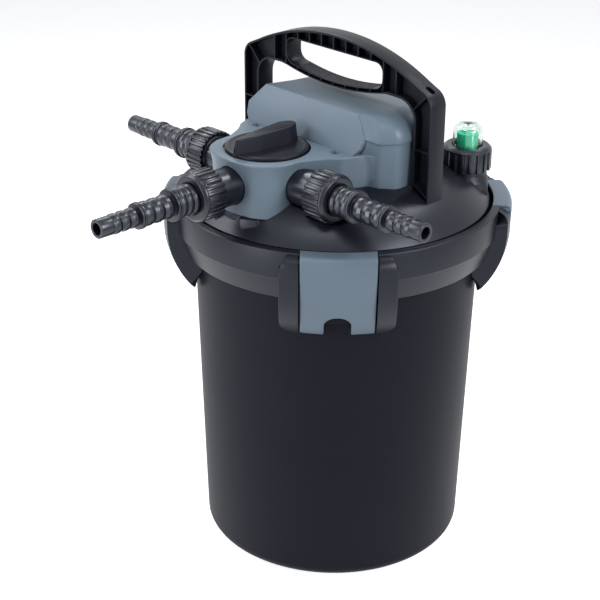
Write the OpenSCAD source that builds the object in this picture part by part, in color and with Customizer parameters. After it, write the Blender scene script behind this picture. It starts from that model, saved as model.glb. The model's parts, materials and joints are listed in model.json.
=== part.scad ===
// Pressurised canister filter for a garden pond: a tapered drum, a domed lid held by a
// clamp ring and four latches, a valve head with three stepped hose tails, a carrying
// handle and a flow indicator, with the filter media and the ultraviolet lamp inside.
// +Z is up and the origin is the centre of the drum's base on the floor. The handle lies
// along X, the valve head looks along -Y and the latches are on the diagonals.

/* [Drum] */
// Outer radius of the drum at its base
drum_base_r = 153.8; // [152:0.2:156]
// Outer radius of the drum where the clamp ring starts
drum_top_r = 162.7; // [162:0.1:163.4]
// Thickness of the drum wall
drum_wall = 4; // [3:0.5:5]
// Radius of the edge between wall and base
base_edge_r = 13; // [8:1:18]
// Height of the rim that carries the seal
rim_z = 402; // [401:0.5:403]
// Outer radius of the rim
rim_r = 164.6; // [164:0.1:164.6]

/* [Lid] */
// Radius of the lid's dome at its edge
lid_r = 172; // [171:0.5:173]
// Height of the dome's edge
lid_edge_z = 421; // [420:0.5:422]
// Rise of the dome above its edge
dome_h = 47; // [45:0.5:49]
// Fullness of the dome: higher is flatter on top and steeper at the edge
dome_power = 5; // [4:0.5:6]
// Thickness of the lid
lid_wall = 4; // [3:0.5:5]

/* [Clamp ring and latches] */
// Outer radius of the clamp ring
ring_r = 185.5; // [184:0.5:187]
// Height of the clamp ring's top edge
ring_top_z = 422; // [421:0.5:422]
// Height of the clamp ring's lower edge
ring_low_z = 364; // [362:0.5:366]
// Outer radius of the clamp ring at its lower edge
ring_low_r = 175; // [174:0.5:177]
// Width of each latch plate
latch_w = 80; // [76:1:82]
// Width over the two cheeks beside each latch
cheeks_w = 124; // [120:1:126]
// Distance of the latch pin from the drum's axis
pin_x = 184.5; // [184.4:0.1:184.8]
// Height of the latch pin
pin_z = 414; // [413.8:0.1:414.2]
// Diameter of the latch pin
pin_d = 6; // [5:0.5:6]

/* [Valve head] */
// Distance of the valve's axis in front of the drum's axis
valve_y = -109; // [-111:1:-107]
// Height of the hose ports' axes
port_z = 470.5; // [469:0.5:472]
// Outer radius of the cover round the valve
head_r = 55; // [54:0.5:57]
// Height of the cover's face under the knob
head_top_z = 500; // [499:0.5:501]
// Radius of the port stubs
stub_r = 20.5; // [20:0.5:21]
// Diameter of the selector knob's disc
knob_d = 90; // [80:1:92]
// Height of the knob with its grip
knob_h = 19; // [16:1:20]

/* [Hose tails] */
// Distance from the valve's axis to the face of each union nut
nut_face = 108; // [106:1:110]
// Length of a union nut
nut_len = 28.5; // [28:0.5:31]
// Outer radius of a union nut over its ribs
nut_r = 26.6; // [26.4:0.1:27.4]
// Ribs round a union nut
nut_ribs = 20; // [16:1:24]
// Distance from the valve's axis to each tail's open end
tail_end = 227; // [220:1:235]
// Outer diameters of the three hose steps, widest first
step_d = [33, 26, 20];
// Visible length of the widest and of the middle step
step_len = [28, 43];
// Length of the plain land at each tail's open end
land_len = 15; // [14:1:18]

/* [Housing] */
// Half length of the lamp housing
box_x = 116; // [114:0.5:117]
// Height of the housing's flat top
box_top_z = 540; // [538:0.5:541]
// Height of the crease between wall and shoulder
crease_z = 517; // [515:0.5:519]
// Thickness of the housing's wall
cover_wall = 3; // [2.5:0.5:3.5]

/* [Handle] */
// Half width over the handle's posts
handle_x = 143.5; // [142:0.5:145]
// Width of each post
post_w = 24; // [22:0.5:25]
// Height of the handle's crown
handle_top_z = 604; // [600:1:606]
// Radius of the handle's crown
crown_r = 262; // [255:1:270]
// Thickness of the handle
handle_t = 23; // [21:0.5:24]
// Height of the underside of the grip at its middle
grip_low_z = 546.5; // [545:0.5:547]
// Half length of the hand slot
slot_x = 73; // [70:0.5:74]
// Thickness of the handle's rims and ribs
rim_t = 3; // [2.5:0.5:3.5]
// Distance between the upright ribs
rib_pitch = 18.4; // [18:0.1:19]

/* [Flow indicator] */
// Distance of the indicator's axis from the handle plane and from the valve plane
indicator_xy = 102; // [101:0.5:103]
// Outer radius of the indicator's nut
ind_nut_r = 28; // [27:0.5:29]
// Outer radius of the clear dome
ind_dome_r = 16.9; // [16.5:0.1:17.2]
// Height of the clear dome's top
ind_top_z = 503; // [502:0.5:504]
// How far the float rises
float_travel = 5; // [4:0.5:5.5]

/* [Inside] */
// Radius of the riser tube round the lamp
riser_r = 31; // [28:1:33]
// Number of foam discs
foams = 4; // [4:1:4]
// Height of one foam disc
foam_h = 60; // [56:1:60]
// Radius of a bio ball
ball_r = 18; // [16:0.5:18]

/* [Hidden] */

$fn = 96;
eps = 0.01;
slice = 0.4;
big = 600;

// Colours of the real finishes
black_pp = "#2b2d33";
black_nut = "#1d1e22";
blue_grey = "#7d8b97";
float_green = "#12a888";
foam_blue = "#3d5f8c";

// Latch places, anticlockwise from the one between +X and -Y
latch_front_a = -45;
latch_right_a = 45;
latch_back_a = 135;
latch_left_a = 225;
latch_angles = [latch_front_a, latch_right_a, latch_back_a, latch_left_a];

// Port directions round the valve
port_right_a = 0;
port_front_a = -90;
port_left_a = 180;
port_angles = [port_right_a, port_front_a, port_left_a];

// Gap between pieces that only rest beside each other
slack = 0.3;

// ---- drum -----------------------------------------------------------------

floor_t = 5;
rim_low_z = 388;
bore_r = 159.6;
catch_low_z = 337;
catch_h = 12;
catch_r = 169.5;
catch_half = 38;
glue_t = 0.1;

function drum_r(z) = drum_base_r + (drum_top_r - drum_base_r) * z / ring_low_z;

module drum_profile() {
    edge = [for (a = [-90 : 11.25 : 0])
        [drum_base_r - base_edge_r * (1 - cos(a)), base_edge_r * (1 + sin(a))]];
    polygon(concat(
        [[0, 0]],
        edge,
        [[drum_top_r, ring_low_z],
         [drum_top_r, rim_low_z],
         [rim_r, rim_low_z + 3],
         [rim_r, rim_z],
         [bore_r, rim_z],
         [bore_r, rim_low_z],
         [drum_top_r - drum_wall, ring_low_z],
         [drum_base_r - drum_wall, base_edge_r],
         [drum_base_r - base_edge_r, floor_t],
         [0, floor_t]]));
}

// Ledge bonded to the drum, that a latch hooks under
module catch(a) {
    high_z = catch_low_z + catch_h;
    intersection() {
        rotate_extrude()
            polygon([
                [drum_r(catch_low_z) + glue_t, catch_low_z],
                [catch_r, catch_low_z],
                [catch_r, high_z],
                [drum_r(high_z) + glue_t, high_z]]);
        rotate(a)
            translate([100, -catch_half, 0])
                cube([100, 2 * catch_half, big]);
    }
}

module bucket() {
    color(black_pp)
        rotate_extrude() drum_profile();
}

module drum_catches() {
    color(black_pp)
        for (a = latch_angles) catch(a);
}

module lid_seal() {
    seal_h = 4;
    color("#26262a")
        rotate_extrude()
            translate([bore_r + 0.3, rim_z + seal_h / 2])
                flat_bar(4.6, seal_h);
}

// Flat bar with half-round ends, its left end at the origin
module flat_bar(w, h) {
    translate([h / 2, 0]) circle(d = h);
    translate([w - h / 2, 0]) circle(d = h);
    translate([h / 2, -h / 2]) square([w - h, h]);
}

// ---- lid ------------------------------------------------------------------

flange_z = rim_z + 4;
flange_t = 4;
flange_r = 180;
spigot_r = bore_r - 0.6;
pedestal_r = head_r - 2.5;
pedestal_z = 440;
lug_reach = 60;
lug_w = 24;
lug_angles = [-62, -118];

function dome_z(r) = lid_edge_z + dome_h * (1 - pow(r / lid_r, dome_power));

// Radii that follow the dome, closer together near its edge
dome_steps = [for (i = [0 : 22]) lid_r * sin(90 * i / 22)];

// The body under the dome's outer face, raised by a gap
module dome_body(gap = 0) {
    rotate_extrude()
        polygon(concat(
            [[0, 380]],
            [for (r = dome_steps) [r, dome_z(r) + gap]],
            [[lid_r, 380]]));
}

module lid_shell() {
    inner = [for (i = [22 : -1 : 0]) dome_steps[i] * (lid_r - lid_wall) / lid_r];
    rotate_extrude()
        polygon(concat(
            [for (r = dome_steps) [r, dome_z(r)]],
            [[lid_r, flange_z + flange_t], [flange_r, flange_z + flange_t], [flange_r, flange_z],
             [spigot_r, flange_z], [spigot_r, rim_z - 12],
             [spigot_r - 3.5, rim_z - 12], [spigot_r - 3.5, flange_z],
             [lid_r - lid_wall, lid_edge_z - 8]],
            [for (r = inner) [r, dome_z(r) - lid_wall * (1 + 0.35 * pow(r / lid_r, 6))]]));
}

// Plan of a screw lug, with its outer corners cut
module lug_plan() {
    w = lug_w / 2;
    polygon([[lug_reach - 26, -w], [lug_reach - 4, -w], [lug_reach - 1.2, -w + 1.2], [lug_reach, -w + 4],
        [lug_reach, w - 4], [lug_reach - 1.2, w - 1.2], [lug_reach - 4, w], [lug_reach - 26, w]]);
}

// Round step in the lid that carries the valve, with the two screw lugs of the cover
module valve_step() {
    difference() {
        union() {
            translate([0, valve_y, lid_edge_z - 6]) cylinder(r = pedestal_r, h = pedestal_z - lid_edge_z + 6);
            for (a = lug_angles)
                translate([0, valve_y, lid_edge_z - 2])
                    rotate(a)
                        linear_extrude(pedestal_z - lid_edge_z + 1.5) lug_plan();
        }
        translate([0, 0, -lid_wall / 2]) dome_body();
    }
}

valve_port_r = 11;
valve_port_gap = 30;
lamp_hole_r = 26;
well_z = pedestal_z - 0.2;
scoop_start = 76;
pocket_floor_t = 5;

// Pockets in the dome that clear the valve, its side ports with their nuts and the
// indicator's nut, grown by a margin and sunk deeper by a floor
module lid_pockets(m = 0, floor = 0) {
    translate([0, valve_y, well_z - floor]) cylinder(r = valve_r + 0.3 + m, h = 60);
    for (a = [port_right_a, port_left_a]) {
        at_port(a) cylinder(r = stub_r + 1.9 + m, h = scoop_start + 5);
        at_port(a) translate([0, 0, scoop_start - m]) cylinder(r = nut_r + 1.8 + m, h = nut_face - scoop_start + 4 + 2 * m);
    }
    indicator_pocket(m, floor);
}

module indicator_pocket(m = 0, floor = 0) {
    at_indicator(ind_nut_low_z - 0.6 - floor) cylinder(r = ind_nut_r + 1.5 + m, h = 60);
}

// The flange is cut back behind each latch, where the latch's top edge swings in
module flange_gap(a) {
    half = latch_w / 2 + 2;
    difference() {
        rotate(a) translate([150, -half, flange_z - 2]) cube([60, 2 * half, flange_t + 4]);
        cylinder(r = lid_r + 0.4, h = big);
    }
}

module lid() {
    color(black_pp)
        difference() {
            union() {
                lid_shell();
                valve_step();
                intersection() {
                    lid_pockets(lid_wall, pocket_floor_t);
                    dome_body(-0.5);
                }
            }
            lid_pockets();
            for (a = latch_angles) flange_gap(a);
            cylinder(r = lamp_hole_r, h = big);
            for (s = [-1, 1])
                translate([s * valve_port_gap / 2, valve_y + 8, 380])
                    cylinder(r = valve_port_r, h = 100, $fn = 48);
            translate([indicator_xy, indicator_xy, 380]) cylinder(r = 8, h = 100, $fn = 48);
            for (s = [-1, 1]) handle_screw_bore(s);
        }
}

// ---- clamp ring and latches ----------------------------------------------

ring_bore_r = rim_r + 0.6;
ring_in_r = 172;
ring_seat_r = flange_r + 0.5;
ring_lip_r = 176.3;
latch_top_z = 422.5;
latch_low_z = 324;
latch_gap = 0.7;
plate_t = 4;
ear_t = 4;
ear_r = 8;
window_z = 398.5;
window_x = 178.8;
cheek_top_z = 420.5;
cheek_low_z = 320.5;
bulge_z = 412;
bulge_r = 150;

// Radius of the latch's outer face at a height: a round bulge below bulge_z
function bulge(z) = 47.5 + sqrt(pow(bulge_r, 2) - pow(bulge_z - z, 2));

latch_steps = [for (i = [0 : 8]) bulge_z - (bulge_z - latch_low_z) * i / 8];

// Section of the latch's curved plate and its top edge
module latch_profile() {
    polygon(concat(
        [[ring_lip_r, latch_top_z - 1.6], [ring_lip_r + 1.6, latch_top_z],
         [191, latch_top_z], [193.7, 421.7], [195.8, 419.9], [197.1, 416.8]],
        [for (z = latch_steps) [bulge(z), z]],
        [for (i = [8 : -1 : 0]) [bulge(latch_steps[i]) - plate_t, latch_steps[i]]],
        [[193.1, 415.2], [192, 417.4], [190.2, latch_top_z - plate_t],
         [ring_lip_r, latch_top_z - plate_t]]));
}

// Side web of the latch round its pin
module latch_ear() {
    translate([pin_x, pin_z]) circle(r = ear_r, $fn = 48);
    polygon([[180, 421], [190, 421], [192.4, 417], [192.4, 400], [190.6, 388], [188, 388], [183, 408]]);
}

notch_w = 29;
notch_h = 26;

module finger_notch() {
    r = notch_w / 2;
    translate([150, 0, latch_low_z + notch_h - r])
        rotate([0, 90, 0])
            cylinder(r = r, h = 40, $fn = 48);
    translate([150, -r, latch_low_z - 5])
        cube([40, notch_w, notch_h - r + 5]);
}

hook_r = 165;
hook_z = catch_low_z - 6.5;
hook_t = 5;
hook_in = 16;
hook_out = 38;

// Lip on the inside of the latch that goes under the drum's catch
module latch_hooks() {
    intersection() {
        rotate_extrude()
            translate([hook_r, hook_z])
                square([bulge(hook_z) - 1 - hook_r, hook_t]);
        for (s = [-1, 1])
            translate([100, s * (hook_in + hook_out) / 2 - (hook_out - hook_in) / 2, 0])
                cube([100, hook_out - hook_in, big]);
    }
}

module latch(a) {
    color(blue_grey)
        rotate(a)
            difference() {
                union() {
                    intersection() {
                        rotate_extrude() latch_profile();
                        translate([100, -latch_w / 2, 0]) cube([120, latch_w, big]);
                    }
                    for (s = [-1, 1])
                        translate([0, s * (latch_w - ear_t) / 2, 0])
                            rotate([90, 0, 0])
                                linear_extrude(ear_t, center = true) latch_ear();
                    latch_hooks();
                }
                translate([pin_x, 0, pin_z])
                    rotate([90, 0, 0])
                        cylinder(d = pin_d + 0.1, h = latch_w + 2, center = true, $fn = 48);
                finger_notch();
            }
}

module latch_front() { latch(latch_front_a); }
module latch_right() { latch(latch_right_a); }
module latch_back() { latch(latch_back_a); }
module latch_left() { latch(latch_left_a); }

pin_len = latch_w + 20;

module latch_pin(a) {
    rotate(a)
        translate([pin_x, 0, pin_z])
            rotate([90, 0, 0])
                cylinder(d = pin_d, h = pin_len, center = true, $fn = 48);
}

module latch_pins() {
    color("silver")
        for (a = latch_angles) latch_pin(a);
}

module ring_profile() {
    step_z = 391;
    polygon([
        [ring_lip_r, ring_top_z], [ring_r - 1.2, ring_top_z], [ring_r, ring_top_z - 1.2],
        [ring_r - 0.3, step_z + 0.6], [ring_r - 1.7, step_z - 0.6], [ring_low_r + 0.6, ring_low_z + 1],
        [ring_low_r - 0.8, ring_low_z], [ring_bore_r, ring_low_z], [ring_bore_r, ring_low_z + 4],
        [ring_in_r, ring_low_z + 6], [ring_in_r, window_z + 1], [ring_seat_r, window_z + 6],
        [ring_seat_r, flange_z + flange_t + 0.2], [ring_lip_r, flange_z + flange_t + 0.2]]);
}

cheek_in_r = ring_seat_r + 0.6;
cheek_steps = [for (i = [0 : 8]) bulge_z - (bulge_z - cheek_low_z) * i / 8];

// Section of the cheeks, just inside the face of the latch
module cheek_profile() {
    inset = 1.5;
    polygon(concat(
        [[cheek_in_r, cheek_top_z], [190, cheek_top_z], [193, 419.4], [195.2, 416.8]],
        [for (z = cheek_steps) [max(bulge(z) - inset, ring_bore_r + 1.2), z]],
        [[ring_bore_r + 0.4, cheek_low_z], [ring_bore_r + 0.4, ring_low_z + 3], [cheek_in_r, ring_low_z + 14]]));
}

// Quarter circle from angle a, in small steps
function corner(x, y, r, a) = [for (i = [0 : 8]) [x + r * cos(a + i * 11.25), y + r * sin(a + i * 11.25)]];

// Outline of the pair of cheeks, seen from in front of the latch
module cheek_front() {
    top_r = 20;
    low_r = 22;
    half = cheeks_w / 2;
    polygon(concat(
        corner(half - top_r, cheek_top_z - top_r, top_r, 0),
        corner(-half + top_r, cheek_top_z - top_r, top_r, 90),
        corner(-half + low_r, cheek_low_z + low_r, low_r, 180),
        corner(half - low_r, cheek_low_z + low_r, low_r, 270)));
}

module cheeks(a) {
    rotate(a)
        intersection() {
            rotate_extrude() cheek_profile();
            translate([120, 0, 0])
                rotate([90, 0, 90]) linear_extrude(90) cheek_front();
        }
}

// The ring is cut low behind each latch, so that the latch's top edge can swing in
module latch_window(a) {
    rotate(a)
        rotate([90, 0, 0])
            linear_extrude(latch_w + 2 * latch_gap, center = true)
                polygon([[150, window_z], [window_x, window_z], [window_x, ring_low_z + 2], [150, ring_low_z + 2],
                    [150, 300], [240, 300], [240, 440], [150, 440]]);
}

module clamp_ring() {
    color(black_pp)
        difference() {
            union() {
                rotate_extrude() ring_profile();
                for (a = latch_angles) cheeks(a);
            }
            for (a = latch_angles) {
                latch_window(a);
                latch_pin(a);
            }
        }
}

// ---- valve and its head ---------------------------------------------------

valve_r = 44;
rotor_r = 33.6;
rotor_low_z = 447;
rotor_top_z = 486;
cap_low_z = 488;
cap_r = 37;
cap_top_z = 496;
stub_bore_r = 14;
stub_end = nut_face - 10;
spindle_r = 6;
knob_seat_z = head_top_z + 0.6;

// Turns a piece drawn along +X to a port of the valve
module at_port(a) {
    translate([0, valve_y, port_z]) rotate(a) rotate([0, 90, 0]) children();
}

module valve_body() {
    color(black_nut)
        difference() {
            union() {
                translate([0, valve_y, well_z]) cylinder(r = valve_r, h = cap_top_z - well_z);
                for (a = port_angles) {
                    at_port(a) cylinder(r = stub_r, h = stub_end);
                    at_port(a) translate([0, 0, stub_end - 17]) cylinder(r = stub_r + 1.2, h = 17);
                }
            }
            translate([0, valve_y, rotor_low_z - 0.3]) cylinder(r = rotor_r + 0.1, h = 60);
            translate([0, valve_y, cap_low_z]) cylinder(r = cap_r, h = 30);
            for (a = port_angles) at_port(a) cylinder(r = stub_bore_r, h = 120, $fn = 64);
            for (s = [-1, 1])
                translate([s * valve_port_gap / 2, valve_y + 8, 430])
                    cylinder(r = valve_port_r, h = 30, $fn = 48);
        }
}

// Plug of the valve, with a curved way from the front port to the two side ports
module valve_rotor() {
    color("#c9ccd0")
        translate([0, valve_y, 0])
            difference() {
                union() {
                    translate([0, 0, rotor_low_z]) cylinder(r = rotor_r, h = rotor_top_z - rotor_low_z);
                    translate([0, 0, rotor_top_z]) cylinder(r = spindle_r, h = 28, $fn = 48);
                }
                translate([0, 0, port_z]) {
                    rotate([0, 90, 0]) cylinder(r = stub_bore_r, h = 100, center = true, $fn = 64);
                    rotate([90, 0, 0]) cylinder(r = stub_bore_r, h = 100, $fn = 64);
                }
                // flat on the spindle that drives the knob
                translate([spindle_r - 1.5, -10, rotor_top_z + 16]) cube([10, 20, 20]);
            }
}

// Cover of the valve chamber, with a bearing and a seal pocket for the spindle
module valve_cap() {
    color(black_nut)
        translate([0, valve_y, 0])
            difference() {
                translate([0, 0, cap_low_z + 0.05]) cylinder(r = cap_r - 0.2, h = cap_top_z - cap_low_z - 0.05);
                cylinder(r = spindle_r + 0.1, h = big, $fn = 48);
                cylinder(r = spindle_r + 3.9, h = cap_low_z + 4, $fn = 48);
            }
}

module spindle_seal() {
    color("#26262a")
        translate([0, valve_y, cap_low_z + 1.9])
            rotate_extrude()
                translate([spindle_r + 1.9, 0]) circle(r = 1.8, $fn = 32);
}

knob_hub_r = 11;
knob_disc_h = 3.4;
knob_nose = 47;
knob_tail = 39;

// Plan of the grip: a narrow nose at the front and a wide rounded end at the back
module grip_plan(grow = 0) {
    hull() {
        translate([0, -knob_nose]) circle(r = 2.6 + grow, $fn = 32);
        translate([0, -14]) circle(r = 9.5 + grow, $fn = 32);
        translate([0, knob_tail - 15]) circle(r = 13.5 + grow, $fn = 32);
    }
}

module selector_knob() {
    color(black_nut)
        difference() {
            translate([0, valve_y, knob_seat_z]) {
                cylinder(d1 = knob_d, d2 = knob_d - 2, h = knob_disc_h - 1.4);
                translate([0, 0, knob_disc_h - 1.4]) cylinder(d1 = knob_d - 2, d2 = knob_d - 12, h = 1.4);
                translate([0, 0, 1]) linear_extrude(knob_h - 1) grip_plan();
                translate([0, 0, -4]) cylinder(r = knob_hub_r, h = 6, $fn = 64);
            }
            // socket for the spindle
            translate([0, valve_y, rotor_top_z])
                difference() {
                    cylinder(r = spindle_r + 0.05, h = 29, $fn = 48);
                    translate([spindle_r - 1.4, -10, 16.1]) cube([10, 20, 20]);
                }
            // groove down the nose
            translate([-1.1, valve_y - knob_nose - 5, knob_seat_z + 2]) cube([2.2, 3.6, knob_h]);
        }
}

// ---- lamp housing and head cover -----------------------------------------

box_back_y = 54;
box_front_y = -64;
top_x = 70;
top_front_y = -47;
top_back_y = 40;
cover_low_z = pedestal_z + 0.3;

// Plan of the housing's walls, drawn in by a margin
module wall_plan(m = 0, front = box_front_y, front_x = 50, end_x = box_x) {
    hull() {
        for (s = [-1, 1]) {
            translate([s * front_x, front + 32]) circle(r = 32 - m, $fn = 48);
            translate([s * (end_x - 40), -14]) circle(r = 40 - m, $fn = 48);
            translate([s * (end_x - 40), box_back_y - 40]) circle(r = 40 - m, $fn = 48);
        }
    }
}

// Plan of the flat top
module top_plan(m = 0) {
    hull()
        for (s = [-1, 1]) {
            translate([s * (top_x - 4), top_front_y + 4]) circle(r = 4 - m / 2, $fn = 32);
            translate([s * (top_x - 22), top_back_y - 22]) circle(r = 22 - m, $fn = 32);
            translate([s * (top_x - 10), -10]) circle(r = 10 - m, $fn = 32);
        }
}

// Housing as a closed solid, drawn in by a margin: upright walls, a flare up to the crease
// and a shoulder that rounds over to the flat top
module housing_solid(m = 0) {
    flare_z = crease_z - 16;
    translate([0, 0, 430]) linear_extrude(flare_z - 430) wall_plan(m);
    hull() {
        translate([0, 0, flare_z - slice]) linear_extrude(slice) wall_plan(m);
        translate([0, 0, crease_z - m - slice]) linear_extrude(slice) wall_plan(m, box_front_y + 7.5, 57, box_x + 1);
        translate([0, 0, box_top_z - 10 - m]) linear_extrude(slice) wall_plan(m + 11, box_front_y + 12, 52, box_x + 1);
        translate([0, 0, box_top_z - m - slice]) linear_extrude(slice) top_plan(m);
    }
}

// The rounded column over the valve and the web that joins it to the housing
module column_solid(m = 0) {
    translate([0, valve_y, cover_low_z - 1]) cylinder(r = head_r - m, h = head_top_z - cover_low_z - 1.5 - m);
    translate([0, valve_y, head_top_z - 2.5 - m - eps])
        cylinder(r1 = head_r - m, r2 = head_r - 2.5 - m, h = 2.5 + eps);
    hull() {
        translate([0, valve_y, cover_low_z + 12]) cylinder(r = head_r - 3 - m, h = head_top_z - cover_low_z - 14.5 - m);
        translate([-80 + m, -66, cover_low_z + 12]) cube([160 - 2 * m, 12, head_top_z - cover_low_z - 16.5 - m]);
    }
}

screw_x = 62;
screw_y = -67;

module head_cover() {
    color(blue_grey)
        difference() {
            union() {
                housing_solid();
                column_solid();
            }
            difference() {
                union() {
                    housing_solid(cover_wall);
                    column_solid(cover_wall);
                }
                for (s = [-1, 1]) translate([s * screw_x, screw_y, 430]) cylinder(r = 7.6, h = 90, $fn = 48);
            }
            dome_body(0.2);
            translate([0, 0, cover_low_z - 20]) cylinder(r = 200, h = 20);
            translate([0, valve_y, cover_low_z - 30]) cylinder(r = head_r + 10, h = 30);
            for (a = port_angles)
                at_port(a) translate([0, 0, 20]) cylinder(r = stub_r + 0.4, h = 80);
            translate([0, valve_y, 480]) cylinder(r = knob_hub_r + 0.5, h = 60, $fn = 64);
            for (s = [-1, 1]) {
                translate([s * screw_x, screw_y, 492]) cylinder(r = 5.4, h = 60, $fn = 48);
                translate([s * screw_x, screw_y, 430]) cylinder(r = 1.9, h = 90, $fn = 48);
            }
            translate([gland_x, box_back_y - 10, gland_z])
                rotate([-90, 0, 0]) cylinder(r = gland_thread_r, h = 20, $fn = 48);
        }
}

module cover_screws() {
    color("silver")
        for (s = [-1, 1])
            translate([s * screw_x, screw_y, 0])
                difference() {
                    union() {
                        translate([0, 0, 492]) cylinder(r = 4, h = 3.2, $fn = 48);
                        translate([0, 0, 466.3]) cylinder(r = 1.9, h = 26.2, $fn = 48);
                    }
                    for (q = [0, 90])
                        rotate(q) translate([-2.4, -0.5, 493.4]) cube([4.8, 1, 3]);
                }
}

gland_x = -62;
gland_z = 488;
gland_thread_r = 8;

// Cable entry at the back of the housing
module cable_gland() {
    color(black_nut)
        translate([gland_x, box_back_y - 8, gland_z])
            rotate([-90, 0, 0])
                difference() {
                    union() {
                        cylinder(r = gland_thread_r, h = 12, $fn = 48);
                        translate([0, 0, 8.1]) cylinder(r = 12, h = 5, $fn = 6);
                        translate([0, 0, 13]) cylinder(r = 9, h = 5, $fn = 48);
                        translate([0, 0, 18]) cylinder(r1 = 9, r2 = 6.6, h = 6, $fn = 48);
                    }
                    translate([0, 0, -1]) cylinder(r = 4, h = 40, $fn = 48);
                }
}

module gland_nut() {
    color(black_nut)
        translate([gland_x, box_back_y - cover_wall - 4.2, gland_z])
            rotate([-90, 0, 0])
                difference() {
                    cylinder(r = 12, h = 4, $fn = 6);
                    translate([0, 0, -1]) cylinder(r = gland_thread_r, h = 6, $fn = 48);
                }
}

// ---- hose tails and union nuts -------------------------------------------

nut_bore_r = stub_r + 1.3;
nut_lip = 4;
lip_bore_r = step_d[0] / 2 + 0.6;
gasket_t = 2;
tail_flange_t = nut_face - nut_lip - slack - stub_end - gasket_t;

// Start of each hose step along the tail, and the end of the last
step_at = [nut_face, nut_face + step_len[0], nut_face + step_len[0] + step_len[1], tail_end];
collar_w = 5;

// One barbed step from u to v with n saw teeth that widen away from the open end
function barbs(r, u, v, n) = [for (i = [0 : n - 1])
    let (p = (v - u) / n, x = u + i * p)
    each [[r - 0.5, x], [r, x + p * 0.2], [r - 0.3, x + p * 0.5], [r - 1.1, x + p * 0.97]]];

// Double ring where two steps meet
function collar_pts(r, x) = [
    [r + 0.9, x - collar_w], [r + 1.1, x - collar_w + 1.6], [r + 0.3, x - collar_w + 2.2],
    [r + 0.3, x - collar_w + 2.8], [r + 1, x - collar_w + 3.3], [r + 0.6, x]];

function tail_outline() = concat(
    [[stub_r, stub_end + gasket_t], [stub_r, stub_end + gasket_t + tail_flange_t],
     [step_d[0] / 2 - 0.6, stub_end + gasket_t + tail_flange_t]],
    barbs(step_d[0] / 2, step_at[0] + 1, step_at[1] - collar_w, 3),
    collar_pts(step_d[0] / 2, step_at[1]),
    barbs(step_d[1] / 2, step_at[1] + 0.5, step_at[2] - collar_w, 5),
    collar_pts(step_d[1] / 2, step_at[2]),
    barbs(step_d[2] / 2 + 0.6, step_at[2] + 0.5, tail_end - land_len - 0.5, 4),
    [[step_d[2] / 2, tail_end - land_len], [step_d[2] / 2, tail_end - 0.8],
     [step_d[2] / 2 - 0.8, tail_end]]);

tail_bore = [13, 9.6, 6.4];

module hose_tail(a) {
    color(black_nut)
        at_port(a)
            rotate_extrude()
                polygon(concat(tail_outline(),
                    [[tail_bore[2], tail_end], [tail_bore[2], step_at[2] - 4],
                     [tail_bore[1], step_at[2] - 8], [tail_bore[1], step_at[1] - 4],
                     [tail_bore[0], step_at[1] - 8], [tail_bore[0], stub_end + gasket_t]]));
}

module hose_tail_right() { hose_tail(port_right_a); }
module hose_tail_front() { hose_tail(port_front_a); }
module hose_tail_left() { hose_tail(port_left_a); }

// Round plan with ribs: bars laid side by side round a core
module ribbed_plan(r, n, depth, rib) {
    circle(r = r - depth);
    for (i = [0 : n - 1])
        rotate(360 * i / n)
            translate([r - depth - 2, -rib / 2]) square([depth + 2, rib]);
}

module union_nut(a) {
    ribbed_len = nut_len - 8;
    color(black_nut)
        at_port(a)
            difference() {
                union() {
                    translate([0, 0, nut_face - nut_len])
                        linear_extrude(ribbed_len) ribbed_plan(nut_r, nut_ribs, 1.8, 4);
                    translate([0, 0, nut_face - 8]) cylinder(r = nut_r - 0.6, h = 5);
                    translate([0, 0, nut_face - 3]) cylinder(r1 = nut_r - 0.6, r2 = nut_r - 3.6, h = 3);
                }
                translate([0, 0, nut_face - nut_len - 1])
                    cylinder(r = nut_bore_r, h = nut_len - nut_lip + 1);
                cylinder(r = lip_bore_r, h = 150);
            }
}

module union_nut_right() { union_nut(port_right_a); }
module union_nut_front() { union_nut(port_front_a); }
module union_nut_left() { union_nut(port_left_a); }

module tail_gaskets() {
    color("#3a3a3e")
        for (a = port_angles)
            at_port(a)
                translate([0, 0, stub_end])
                    difference() {
                        cylinder(r = stub_r - 0.6, h = gasket_t);
                        translate([0, 0, -1]) cylinder(r = stub_bore_r + 0.5, h = gasket_t + 2);
                    }
}

// ---- handle ---------------------------------------------------------------

handle_y = 1;
post_in_x = handle_x - post_w;
arch_z = 556;
arch_r = 20;
shoulder_r = 18;
shoulder_z = handle_top_z - crown_r + sqrt(pow(crown_r - shoulder_r, 2) - pow(handle_x - shoulder_r, 2));
slot_top_z = 587;
slot_low_z = 553;
slot_r = 11;
web_t = 3;
pocket_t = (handle_t - web_t) / 2;
foot_z = 440;

// Solid outline of the handle without its openings, drawn in by a margin
module handle_outline(m = 0) {
    intersection() {
        translate([0, handle_top_z - crown_r]) circle(r = crown_r - m, $fn = 240);
        union() {
            translate([-handle_x + m, foot_z + m])
                square([2 * (handle_x - m), shoulder_z - foot_z - m]);
            for (s = [-1, 1])
                translate([s * (handle_x - shoulder_r), shoulder_z]) circle(r = shoulder_r - m, $fn = 64);
            translate([-handle_x + shoulder_r, foot_z + m])
                square([2 * (handle_x - shoulder_r), 200]);
        }
    }
}

// The way through under the grip, grown by a margin: straight posts and round corners
module arch_opening(m = 0) {
    grip_sag = 8.5;
    grip_r = (slot_x * slot_x + grip_sag * grip_sag) / (2 * grip_sag);
    difference() {
        union() {
            translate([-post_in_x - m, foot_z - 10])
                square([2 * (post_in_x + m), arch_z - arch_r - foot_z + 10]);
            for (s = [-1, 1])
                translate([s * (post_in_x - arch_r), arch_z - arch_r]) circle(r = arch_r + m, $fn = 64);
            translate([-post_in_x + arch_r, foot_z - 10])
                square([2 * (post_in_x - arch_r), arch_z - foot_z + 10 + m]);
        }
        translate([0, grip_low_z + grip_r + m]) circle(r = grip_r, $fn = 240);
    }
}

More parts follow.
